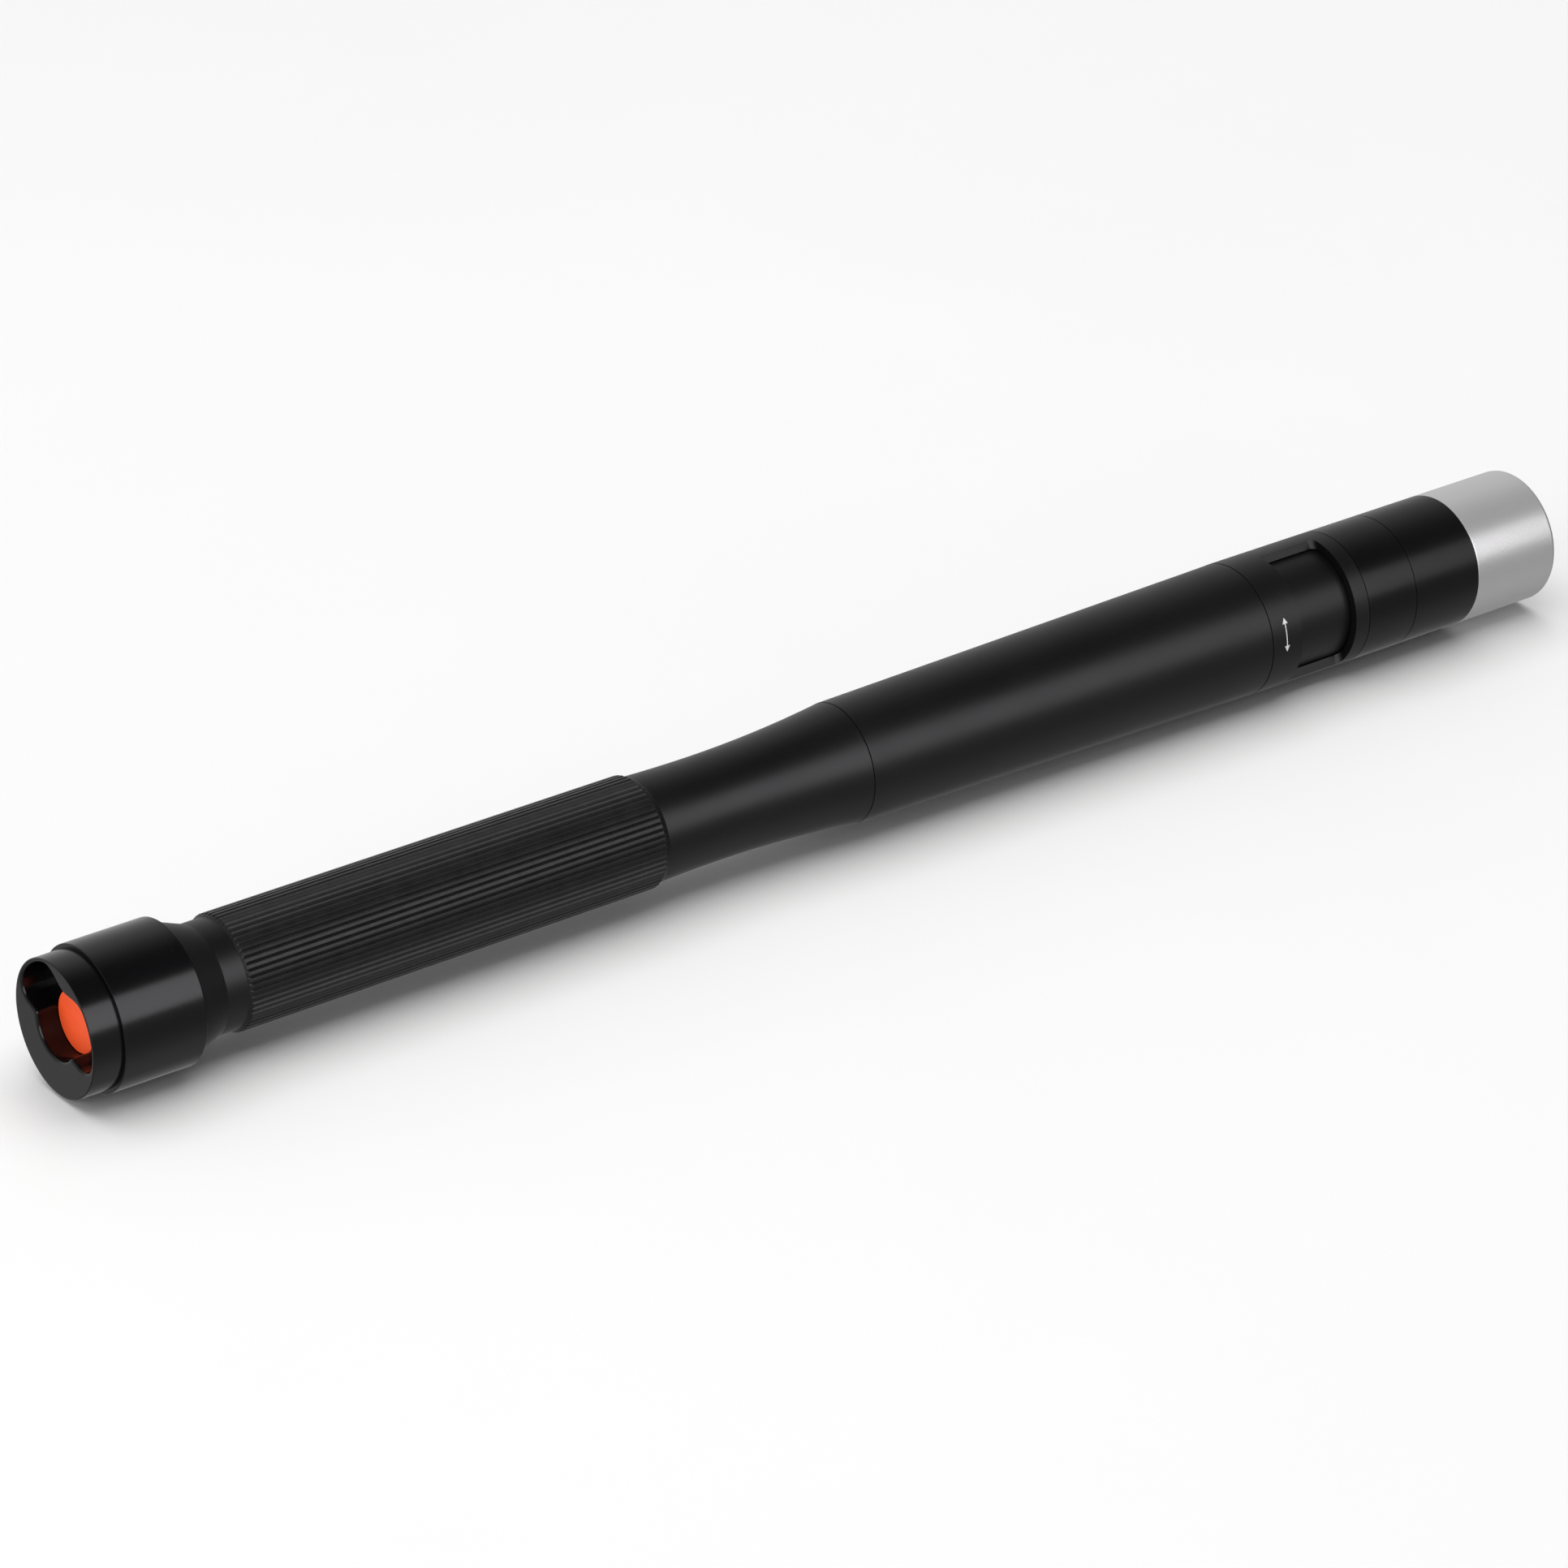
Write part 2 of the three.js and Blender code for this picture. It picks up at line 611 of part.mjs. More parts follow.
// The sleeve's outline has a flat top and a V groove for each rib, and its two ends are chamfered
function gripSleeve() {
  const bore = bedRadius + FIT;
  const pitch = (2 * Math.PI) / RIB_COUNT;
  const grooveAngle = GROOVE_WIDTH / GRIP_RADIUS;
  const outline = [];
  for (let i = 0; i < RIB_COUNT; i += 1) {
    outline.push([i * pitch, GRIP_RADIUS - GROOVE_DEPTH]);
    outline.push([i * pitch + grooveAngle / 2, GRIP_RADIUS]);
    outline.push([(i + 1) * pitch - grooveAngle / 2, GRIP_RADIUS]);
  }
  const [start, end] = [gripStart + SEAT, gripEnd - SEAT];
  const rings = [
    [start, () => 0],
    [start, (radius) => radius - GRIP_CHAMFER],
    [start + GRIP_CHAMFER, (radius) => radius],
    [end - GRIP_CHAMFER, (radius) => radius],
    [end, (radius) => radius - GRIP_CHAMFER],
    [end, () => 0],
  ];
  const positions = rings.flatMap(([station, reach]) => outline.flatMap(([angle, radius]) => [
    station,
    -reach(radius) * Math.sin(angle),
    reach(radius) * Math.cos(angle),
  ]));
  const count = outline.length;
  const index = [];
  for (let r = 0; r + 1 < rings.length; r += 1) {
    for (let k = 0; k < count; k += 1) {
      const [a, b] = [r * count + k, r * count + ((k + 1) % count)];
      index.push(a, b, b + count, a, b + count, a + count);
    }
  }
  const geometry = new THREE.BufferGeometry();
  geometry.setAttribute('position', new THREE.Float32BufferAttribute(positions, 3));
  geometry.setIndex(index);
  return cut(geometry, disc(start - SEAT, end + SEAT, bore));
}

function barrelTube() {
  return turned([
    [barrelStart, BARREL_REAR_RADIUS],
    [barrelEnd, BARREL_FRONT_RADIUS],
    [barrelEnd, barrelBore],
    [shoulderEnd, barrelBore],
    [shoulderEnd, SHOULDER_BORE],
    [shoulderStart, SHOULDER_BORE],
    [shoulderStart, barrelRearBore],
    [barrelStart, barrelRearBore],
  ]);
}

// The window is milled straight across, so its ends are flat and its floor is the port body behind it
function portRing() {
  const cutterHeight = 2 * HEAD_RADIUS;
  const cutter = roundedBlock(WINDOW_LENGTH, cutterHeight, WINDOW_CORNER, 2 * cutterHeight);
  cutter.rotateX(Math.PI / 2);
  cutter.translate(socketStation, 0, WINDOW_PLANE + cutterHeight / 2);
  return cut(tube(ringStart, ringEnd, HEAD_RADIUS, ringBore), cutter.rotateX(radians(WINDOW_CLOCK)));
}

// A block with round corners, standing on the board
function socketPrism(length, width, corner, inner, outer) {
  const geometry = roundedBlock(length, width, corner, outer - inner);
  return geometry.translate(socketStation, 0, (inner + outer) / 2);
}

function usbSocket() {
  const inner = boardOuter + SEAT;
  const shell = socketPrism(SOCKET_LENGTH, SOCKET_WIDTH, SOCKET_CORNER, inner, socketMouth);
  const cavity = socketPrism(
    SOCKET_LENGTH - 2 * SOCKET_WALL,
    SOCKET_WIDTH - 2 * SOCKET_WALL,
    SOCKET_CORNER - SOCKET_WALL,
    inner + SOCKET_FLOOR,
    socketMouth + SEAT,
  );
  return cut(shell, cavity);
}

function portBody() {
  const body = turned([
    [portStart, PORT_THREAD_RADIUS],
    [ringStart, PORT_THREAD_RADIUS],
    [ringStart, sleeveRadius],
    ...sealGroove(ringStart + RING_SEAL_MARGIN, sleeveRadius),
    ...sealGroove(ringEnd - FRONT_SEAL_MARGIN, sleeveRadius),
    [flangeStart, sleeveRadius],
    [flangeStart, HEAD_RADIUS],
    [flangeEnd, HEAD_RADIUS],
    [flangeEnd, noseRadius],
    ...sealGroove(flangeEnd + SEAL_SETBACK, noseRadius),
    [portNoseEnd, noseRadius],
    [portNoseEnd, PORT_BORE],
    [portStart, PORT_BORE],
  ]);
  const mouth = socketPrism(
    SOCKET_LENGTH + 2 * FIT,
    SOCKET_WIDTH + 2 * FIT,
    SOCKET_CORNER + FIT,
    boardOuter,
    HEAD_RADIUS,
  );
  return cut(body, mouth.rotateX(radians(socketClock)));
}

// A round bar with a flat for the board and a hole through it for the wires
function boardCradle() {
  const radius = PORT_BORE - FIT;
  const flat = BOARD_OFFSET - SEAT;
  const edge = Math.acos(flat / radius);
  const shape = new THREE.Shape();
  shape.absarc(0, 0, radius, edge, 2 * Math.PI - edge, false);
  const hole = new THREE.Path();
  hole.absarc(-CRADLE_HOLE_OFFSET, 0, CRADLE_HOLE, 0, 2 * Math.PI, false);
  shape.holes.push(hole);
  return prism(shape, portStart, boardFront, CRADLE_STEPS);
}

function headTube() {
  const lampShoulder = heatSinkEnd + SEAT;
  const threadEnd = headEnd + HEAD_THREAD_LENGTH;
  return turned([
    [headStart, HEAD_RADIUS],
    [headEnd, HEAD_RADIUS],
    [headEnd, HEAD_THREAD_RADIUS],
    ...sealGroove(headEnd + SEAL_SETBACK, HEAD_THREAD_RADIUS),
    [threadEnd, HEAD_THREAD_RADIUS],
    [threadEnd, HEAD_FRONT_BORE],
    [lampShoulder, HEAD_FRONT_BORE],
    [lampShoulder, HEAD_SOCKET_RADIUS],
    [headStart, HEAD_SOCKET_RADIUS],
  ]);
}

// Holes for the lamp's two leads and two screws, through the heat sink or the lamp's board
function lampHoles(start, end, radius, across, outward) {
  return [-across, across].map((side) => pin(radius + FIT, start, end, side, outward));
}

function heatSink() {
  const [below, above] = [heatSinkStart - SEAT, heatSinkEnd + SEAT];
  const leadHoles = lampHoles(below, above, LEAD_RADIUS, LEAD_SPREAD, boardMiddle);
  const floor = heatSinkEnd - SCREW_DEPTH - SEAT;
  const screwHoles = lampHoles(floor, above, SCREW_RADIUS, SCREW_CIRCLE, 0);
  return cut(disc(heatSinkStart, heatSinkEnd, noseRadius), ...leadHoles, ...screwHoles);
}

function ledBoard() {
  const holes = lampHoles(ledBoardStart - SEAT, ledBoardEnd + SEAT, SCREW_RADIUS, SCREW_CIRCLE, 0);
  return cut(disc(ledBoardStart, ledBoardEnd, LED_BOARD_RADIUS, INNER_SIDES), ...holes);
}

function ledScrew(across) {
  const headEnds = [ledStart, ledStart + SCREW_HEAD_HEIGHT];
  return turned([
    [heatSinkEnd - SCREW_DEPTH, 0],
    [heatSinkEnd - SCREW_DEPTH, SCREW_RADIUS],
    [headEnds[0], SCREW_RADIUS],
    [headEnds[0], SCREW_HEAD_RADIUS],
    [headEnds[1], SCREW_HEAD_RADIUS],
    [headEnds[1], 0],
  ], SMALL_SIDES).translate(0, across, 0);
}

function ledEmitter() {
  const square = (start, end) => {
    const geometry = new THREE.BoxGeometry(end - start, LED_WIDTH, LED_WIDTH);
    return geometry.translate((start + end) / 2, 0, 0);
  };
  const base = square(ledStart, ledStart + LED_BASE);
  const below = square(ledStart - LED_DOME, ledStart);
  const dome = new THREE.SphereGeometry(LED_DOME, DOME_COLUMNS, DOME_ROWS);
  dome.translate(ledStart + LED_BASE, 0, 0);
  return surface(solid(base).add(solid(dome)).subtract(solid(below)));
}

// A parabola with its focus on the lamp, opening to the given radius at the lens
function reflector() {
  const focus = ledStart + LED_BASE + LED_DOME / 2;
  const run = reflectorEnd - focus;
  const focalLength = (Math.hypot(run, REFLECTOR_RADIUS) - run) / 2;
  const bowl = (station) => Math.sqrt(4 * focalLength * (station - focus + focalLength));
  const flangeRear = reflectorEnd - REFLECTOR_FLANGE;
  const outside = [];
  const inside = [];
  for (let i = 0; i <= REFLECTOR_STEPS; i += 1) {
    const share = (i / REFLECTOR_STEPS) ** REFLECTOR_CROWD;
    const outer = reflectorStart + (flangeRear - reflectorStart) * share;
    const inner = reflectorStart + (reflectorEnd - reflectorStart) * share;
    outside.push([outer, bowl(outer) + REFLECTOR_WALL]);
    inside.unshift([inner, bowl(inner)]);
  }
  return turned([
    ...outside,
    [flangeRear, HEAD_THREAD_RADIUS],
    [reflectorEnd, HEAD_THREAD_RADIUS],
    ...inside,
  ]);
}

function bezel() {
  return turned([
    [bezelStart, HEAD_RADIUS],
    ...round(bezelEnd - BEZEL_ROUND, HEAD_RADIUS - BEZEL_ROUND, BEZEL_ROUND, 90, 0),
    [bezelEnd, LIP_RADIUS + LIP_CHAMFER],
    [bezelEnd - LIP_CHAMFER, LIP_RADIUS],
    [lipStart, LIP_RADIUS],
    [lipStart, bezelBore],
    [bezelStart, bezelBore],
  ]);
}

function add(group, name, geometry, material) {
  const mesh = new THREE.Mesh(welded(geometry), material());
  mesh.name = name;
  group.add(mesh);
}

// The torch lies with its tail cap on the floor, centred on its length
const torch = new THREE.Group();
torch.position.set(-bezelEnd / 2, 0, CAP_RADIUS * Math.cos(Math.PI / SIDES));

// Tail
const holderBore = SWITCH_WIDTH / Math.SQRT2 + FIT;
const stemEnd = switchFront + STEM_ENGAGE;
add(torch, 'tail_cap', tailCap(), blackAnodised);
add(torch, 'switch_button', switchButton(), orangeRubber);
add(torch, 'switch_stem', disc(flangeBack + SEAT, stemEnd, STEM_RADIUS, INNER_SIDES), whitePlastic);
add(torch, 'click_switch', clickSwitch(), blackPlastic);
add(
  torch,
  'switch_holder',
  tube(switchFront, switchEnd, switchRadius, holderBore, INNER_SIDES),
  blackPlastic,
);
add(torch, 'switch_board', disc(switchBoardStart, switchBoardEnd, switchRadius, INNER_SIDES), greenBoard);
add(
  torch,
  'switch_retainer',
  tube(retainerStart, retainerEnd, switchRadius, RETAINER_BORE, INNER_SIDES),
  brass,
);
add(
  torch,
  'tail_spring',
  spring('tail_spring', tailSpringStart, tailSpringEnd, TAIL_SPRING_RADIUS, TAIL_SPRING_TURNS),
  brass,
);

// Handle
add(torch, 'handle_tube', handleTube(), blackAnodised);
add(torch, 'grip_sleeve', gripSleeve(), blackRubber);
add(torch, 'tail_oring', seal(handleStart - SEAL_SETBACK, tailThreadRadius), blackRubber);
add(torch, 'handle_oring', seal(handleEnd + SEAL_SETBACK, HANDLE_THREAD_RADIUS), blackRubber);
for (let i = 0; i < CELL_COUNT; i += 1) {
  add(torch, `cell_${i + 1}`, cell(cellStart + i * cellPitch), cellWrap);
}

// Barrel
const spacerStart = handleThreadEnd + SEAT;
const spacerEnd = contactBoardStart - SEAT;
add(torch, 'barrel_tube', barrelTube(), blackAnodised);
add(
  torch,
  'contact_spacer',
  tube(spacerStart, spacerEnd, HANDLE_THREAD_RADIUS, cellBore, INNER_SIDES),
  blackPlastic,
);
add(
  torch,
  'contact_board',
  disc(contactBoardStart, contactBoardEnd, HANDLE_THREAD_RADIUS, INNER_SIDES),
  greenBoard,
);
add(
  torch,
  'contact_spring',
  spring('contact_spring', cellsEnd + SEAT, spacerEnd, CONTACT_SPRING_RADIUS, CONTACT_SPRING_TURNS),
  brass,
);

// Port
add(torch, 'port_ring', portRing(), blackAnodised);
add(torch, 'port_body', portBody(), blackAnodised);
add(torch, 'ring_oring_rear', seal(ringStart + RING_SEAL_MARGIN, sleeveRadius), blackRubber);
add(torch, 'ring_oring_front', seal(ringEnd - FRONT_SEAL_MARGIN, sleeveRadius), blackRubber);

// Electronics, turned so that the socket faces away from the window
const electronics = new THREE.Group();
electronics.rotation.x = radians(socketClock);
torch.add(electronics);
const onBoard = boardOuter + SEAT;
const tongueRoot = onBoard + SOCKET_FLOOR + SEAT;
const tongueTip = socketMouth - TONGUE_RECESS;
const coil = new THREE.CylinderGeometry(COIL_RADIUS, COIL_RADIUS, COIL_HEIGHT, INNER_SIDES);
coil.rotateX(Math.PI / 2);
coil.translate(boardRear + COIL_SETBACK, 0, onBoard + COIL_HEIGHT / 2);
const [leadRear, leadFront] = [contactBoardEnd + SEAT, boardRear - SEAT];
const boardStation = (boardRear + boardFront) / 2;
const boardBlock = block(BOARD_LENGTH, BOARD_WIDTH, BOARD_OFFSET, boardOuter, boardStation);
add(electronics, 'driver_board', boardBlock, greenBoard);
add(electronics, 'board_cradle', boardCradle(), blackPlastic);
add(electronics, 'usb_socket', usbSocket(), steel);
add(
  electronics,
  'usb_tongue',
  block(TONGUE_LENGTH, TONGUE_THICKNESS, tongueRoot, tongueTip, socketStation),
  blackPlastic,
);
add(electronics, 'charge_coil', coil, blackPlastic);
add(
  electronics,
  'driver_chip',
  block(CHIP_WIDTH, CHIP_WIDTH, onBoard, onBoard + CHIP_HEIGHT, boardRear + CHIP_SETBACK),
  blackPlastic,
);
add(electronics, 'positive_lead', lead([
  [leadRear, 0, 0],
  [leadRear + LEAD_STRAIGHT, 0, 0],
  [leadFront - LEAD_STRAIGHT, 0, boardMiddle],
  [leadFront, 0, boardMiddle],
]), redWire);

// Head and lamp
add(torch, 'head_tube', headTube(), blackAnodised);
add(torch, 'head_oring', seal(flangeEnd + SEAL_SETBACK, noseRadius), blackRubber);
add(electronics, 'heat_sink', heatSink(), aluminium);
add(electronics, 'led_board', ledBoard(), whiteBoard);
add(electronics, 'led_emitter', ledEmitter(), yellowPhosphor);
add(electronics, 'led_screw_1', ledScrew(-SCREW_CIRCLE), steel);
add(electronics, 'led_screw_2', ledScrew(SCREW_CIRCLE), steel);
const leadEnds = [boardFront + SEAT, heatSinkEnd];
const lampLead = (across) => pin(LEAD_RADIUS, ...leadEnds, across, boardMiddle);
add(electronics, 'led_lead_positive', lampLead(-LEAD_SPREAD), redWire);
add(electronics, 'led_lead_negative', lampLead(LEAD_SPREAD), blackWire);
const ledSpacerBore = LED_WIDTH / Math.SQRT2 + FIT;
const ledSpacer = tube(ledStart, ledSpacerEnd, ledSpacerBore + SPACER_WIDTH, ledSpacerBore, INNER_SIDES);
add(torch, 'led_spacer', ledSpacer, whitePlastic);
add(torch, 'reflector', reflector(), mirrorCoat);
add(torch, 'lens', disc(lensStart, lensStart + LENS_THICKNESS, HEAD_THREAD_RADIUS), clearGlass);
add(
  torch,
  'lens_gasket',
  tube(gasketStart, gasketStart + GASKET_THICKNESS, HEAD_THREAD_RADIUS, LIP_RADIUS),
  blackRubber,
);
add(torch, 'bezel', bezel(), satinSilver);
add(torch, 'bezel_oring', seal(headEnd + SEAL_SETBACK, HEAD_THREAD_RADIUS), blackRubber);

const model = new THREE.Group();
model.add(torch);

export default model;
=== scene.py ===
"""The looks of a long-handled flashlight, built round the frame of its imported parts.

Shapes are made in millimetres along the torch's axis: X is the station, counted from the tail face, and
the axis is at Y = Z = 0. A clock angle turns about +X from +Z towards -Y. finished() moves a shape into
the frame.
"""
import math
from types import SimpleNamespace

import bmesh
import bpy
from bpy.props import FloatProperty, FloatVectorProperty, IntProperty, PointerProperty
from mathutils import Matrix, Vector


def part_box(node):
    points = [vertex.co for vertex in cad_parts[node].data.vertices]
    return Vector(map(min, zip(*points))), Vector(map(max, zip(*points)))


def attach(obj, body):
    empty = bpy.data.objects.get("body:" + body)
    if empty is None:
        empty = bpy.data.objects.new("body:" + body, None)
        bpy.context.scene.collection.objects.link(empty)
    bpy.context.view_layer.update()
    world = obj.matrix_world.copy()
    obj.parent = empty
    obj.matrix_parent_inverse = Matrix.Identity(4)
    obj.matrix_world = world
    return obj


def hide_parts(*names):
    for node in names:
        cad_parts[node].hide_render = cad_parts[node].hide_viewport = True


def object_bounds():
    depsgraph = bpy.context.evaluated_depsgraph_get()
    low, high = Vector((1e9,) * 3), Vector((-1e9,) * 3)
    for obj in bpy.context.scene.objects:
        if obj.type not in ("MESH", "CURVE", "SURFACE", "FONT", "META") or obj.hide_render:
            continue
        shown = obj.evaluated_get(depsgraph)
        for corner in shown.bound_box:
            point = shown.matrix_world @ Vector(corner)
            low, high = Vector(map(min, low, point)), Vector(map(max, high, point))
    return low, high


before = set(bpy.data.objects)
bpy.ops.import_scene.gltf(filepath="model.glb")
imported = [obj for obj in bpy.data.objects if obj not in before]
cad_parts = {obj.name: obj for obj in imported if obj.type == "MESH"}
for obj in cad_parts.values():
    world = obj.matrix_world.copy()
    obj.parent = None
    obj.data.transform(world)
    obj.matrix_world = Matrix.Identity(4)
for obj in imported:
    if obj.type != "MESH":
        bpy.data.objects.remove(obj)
CAD_LOW, CAD_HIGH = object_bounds()

bl_info = {
    "name": "Long Flashlight",
    "version": (1, 0, 0),
    "blender": (4, 5, 0),
    "location": "3D View > Sidebar > Flashlight",
    "description": "Builds the visible pieces, the finishes and the studio of a long-handled flashlight",
    "category": "Object",
}

MM = 0.001
TAIL_X = CAD_LOW.x
AXIS_Z = sum(corner.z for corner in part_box("bezel")) / 2
TO_FRAME = Matrix.Translation((TAIL_X, 0, AXIS_Z)) @ Matrix.Scale(MM, 4)

# Flats round a CAD piece, and faces round a piece made here
CASING_FACETS, INNER_FACETS = 32, 16
STEPS, INNER_STEPS = 192, 96

ORIGIN, AXIS = (0, 0, 0), (1, 0, 0)
SHARP = math.radians(40)  # least angle of an edge that stays sharp
MERGE = 1e-4  # points nearer than this, in millimetres, are one point
CLEARANCE = 0.3  # gap in millimetres between pieces that fit together


def span(node):
    """First and last station of a CAD node."""
    low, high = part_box(node)
    return (low.x - TAIL_X) / MM, (high.x - TAIL_X) / MM


def reach(node, facets=CASING_FACETS):
    """Radius of a turned CAD node, which has flat facets at its sides."""
    low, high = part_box(node)
    return (high.y - low.y) / 2 / MM / math.cos(math.pi / facets)


def length(name, description, millimetres):
    """A size in the sidebar, in metres."""
    return FloatProperty(
        name=name, description=description, default=millimetres * MM, min=0, precision=5, unit="LENGTH"
    )


def colour(name, description, red, green, blue):
    """A colour in the sidebar, in linear light."""
    return FloatVectorProperty(
        name=name, description=description, default=(red, green, blue), min=0, max=1, subtype="COLOR"
    )


def power(name, description, watts):
    """A light's power in the sidebar."""
    return FloatProperty(name=name, description=description, default=watts, min=0, unit="POWER")


class TorchSizes(bpy.types.PropertyGroup):
    """Sizes of the visible pieces that the frame's boxes don't give."""

    collar_radius: length("Collar Radius", "Outside of the collar at the tail", 15.45)
    collar_length: length("Collar Length", "From the tail face to the step of the cap", 7.2)
    collar_round: length("Collar Round", "Round edge of the tail face", 0.25)
    cap_round: length("Cap Round", "Round front edge of the cap", 0.3)
    cap_edge: length("Cap Edge", "Crisp rear edge of the cap", 0.22)
    cap_bore: length("Cap Bore", "Inside of the cap's thread", 14.1)
    cap_thread_start: length("Cap Thread Start", "Station where the cap's thread begins", 18.1)
    switch_bore: length("Switch Bore", "Inside of the cap round the switch", 11.7)
    end_wall: length("End Wall", "Thickness of the cap's end", 7.0)
    lobe_depth: length("Lobe Depth", "Depth of the thumb opening", 6.0)
    lobe_reach: length("Lobe Reach", "From the axis to the far side of a lobe", 14.4)
    lobe_corner: length("Lobe Corner", "Round corner of a lobe", 4.0)
    lobe_shelf: length("Lobe Shelf", "From the axis to the lobes' straight side", 1.75)
    tooth_reach: length("Tooth Reach", "From the axis to the tooth between the lobes", 11.3)
    rim_round: length("Rim Round", "Soft edge all round the thumb opening", 0.7)
    button_radius: length("Button Radius", "Outside of the push button", 7.0)
    button_flange: length("Button Flange", "Thickness of the flange that holds the button", 0.9)
    flare_length: length("Flare Length", "Cone between the cap and the neck", 7.3)
    flare_radius: length("Flare Radius", "Cone's radius at the cap", 15.2)
    neck_radius: length("Neck Radius", "Handle between the cone and the grip", 12.45)
    waist_rear: length("Waist Rear Radius", "Handle just ahead of the grip", 12.3)
    waist_radius: length("Waist Radius", "Handle at its slimmest", 11.95)
    waist_setback: length("Waist Setback", "From the grip to the slimmest place", 17.0)
    handle_end: length("Handle End Radius", "Handle where it meets the barrel", 14.1)
    cell_bore: length("Cell Bore", "Inside of the handle", 9.7)
    grip_radius: length("Grip Radius", "Outside of the grip's ribs", 13.18)
    groove_depth: length("Groove Depth", "Depth of the grip's grooves", 0.38)
    grip_chamfer: length("Grip Chamfer", "Length in which the grooves run out", 0.4)
    grip_shoulder: length("Grip Shoulder", "Smooth cone at the front end of the grip", 1.2)
    grip_step: length("Grip Step", "Steep cone at the rear end of the grip", 0.45)
    barrel_rear: length("Barrel Rear Radius", "Barrel where it meets the handle", 14.15)
    seam_edge: length("Seam Edge", "Softened edge at each joint line", 0.1)
    seam_gap: length("Seam Gap", "Dark line left at each joint of the casing", 0.16)
    ring_bore: length("Ring Bore", "Inside of the port ring", 14.1)
    window_margin: length("Window Margin", "From the ring's rear edge to its window", 8.8)
    window_length: length("Window Length", "Window in the ring, along the axis", 16.6)
    window_plane: length("Window Plane", "From the axis to the window's flat ends", 5.6)
    window_corner: length("Window Corner", "Round corners that the cutter left", 1.6)
    sleeve_radius: length("Sleeve Radius", "Port body under the ring", 13.8)
    bezel_round: length("Bezel Round", "Round edge at the lamp end", 1.1)
    bezel_edge: length("Bezel Edge", "Softened edge where the bezel meets the head", 0.22)
    lip_radius: length("Lip Radius", "Opening of the bezel in front of the lens", 13.2)
    arrow_line: length("Arrow Line", "Width of the arrow's line on the ring", 0.27)
    arrow_head: length("Arrow Head", "Width of the arrow's heads", 1.5)
    groove_count: IntProperty(
        name="Groove Count", description="Grooves round the grip", default=56, min=8, max=120
    )


class TorchColours(bpy.types.PropertyGroup):
    """Colours of the finishes."""

    anodised: colour("Anodised Black", "Casings", 0.0030, 0.0027, 0.0031)
    grip: colour("Grip Black", "Ribbed grip", 0.0085, 0.0079, 0.0082)
    silver: colour("Blasted Silver", "Bezel", 0.495, 0.495, 0.492)
    button: colour("Button Orange", "Push button", 0.98, 0.1, 0.019)
    mark: colour("Mark White", "Double arrow on the ring", 0.74, 0.74, 0.74)
    seal: colour("Seal Black", "Rubber seals", 0.012, 0.012, 0.013)
    plastic: colour("Black Plastic", "Moulded holders and spacers", 0.016, 0.016, 0.018)
    pale_plastic: colour("White Plastic", "Switch stem and lamp spacer", 0.72, 0.70, 0.66)
    board: colour("Board Green", "Circuit boards", 0.012, 0.105, 0.04)
    lamp_board: colour("Board White", "Board of the lamp", 0.78, 0.78, 0.76)
    brass: colour("Brass", "Springs and switch ring", 0.60, 0.36, 0.10)
    steel: colour("Steel", "Socket, screws and cell ends", 0.50, 0.51, 0.52)
    aluminium: colour("Aluminium", "Heat sink", 0.56, 0.57, 0.58)
    mirror: colour("Mirror Coat", "Reflector", 0.88, 0.89, 0.90)
    wrap: colour("Cell Wrap", "Sleeves of the cells", 0.028, 0.16, 0.33)
    phosphor: colour("Phosphor", "Face of the lamp", 0.80, 0.56, 0.05)
    glass: colour("Clear Glass", "Lens", 0.98, 0.99, 1.0)
    red_wire: colour("Red Wire", "Positive leads", 0.45, 0.014, 0.012)
    black_wire: colour("Black Wire", "Negative lead", 0.010, 0.010, 0.010)


class TorchStage(bpy.types.PropertyGroup):
    """Studio round the torch."""

    floor: colour("Floor", "Pale floor", 0.755, 0.755, 0.75)
    bank_power: power("Light Bank", "Long bank that the casings reflect", 37.0)
    ceiling_power: power("Ceiling Light", "Wide light that evens out the floor", 125.0)
    fill_power: power("Fill Light", "Soft light on the tail", 11.0)
    focal_length: FloatProperty(
        name="Focal Length", description="Lens of the camera, in millimetres", default=146.02, min=1
    )


def in_mm(group):
    """The sizes of a property group in millimetres, and its counts as they are."""
    scale = {"FLOAT": 1 / MM, "INT": 1}
    kinds = {key: group.bl_rna.properties[key].type for key in group.__annotations__}
    return SimpleNamespace(**{key: getattr(group, key) * scale[kind] for key, kind in kinds.items()})


def casing_span(node, size):
    """First and last station of a casing piece, eased out to leave narrow joint lines."""
    ease = (CLEARANCE - size.seam_gap) / 2
    start, end = span(node)
    return start - ease, end + ease


# Shapes

CORNER_STEPS = 4
BLOCK_STEPS = 5
SOFT_STEPS = 2


def outward(bm):
    """Points all faces outwards."""
    bmesh.ops.recalc_face_normals(bm, faces=bm.faces[:])
    return bm


def joined(bm):
    """Merges the points that lie on each other."""
    bmesh.ops.remove_doubles(bm, verts=bm.verts[:], dist=MERGE)
    return bm


def only(kind, items):
    """The items of one kind in the result of an operator."""
    return [item for item in items if isinstance(item, kind)]


def bevel(bm, geometry, width, segments, affect="EDGES"):
    bmesh.ops.bevel(
        bm,
        geom=geometry,
        offset=width,
        offset_type="OFFSET",
        segments=segments,
        profile=0.5,
        affect=affect,
        material=-1,
        clamp_overlap=True,
    )


def swung(bm, geometry, angle, steps, **more):
    """Spins geometry about the torch's axis."""
    return bmesh.ops.spin(bm, geom=geometry, cent=ORIGIN, axis=AXIS, angle=angle, steps=steps, **more)


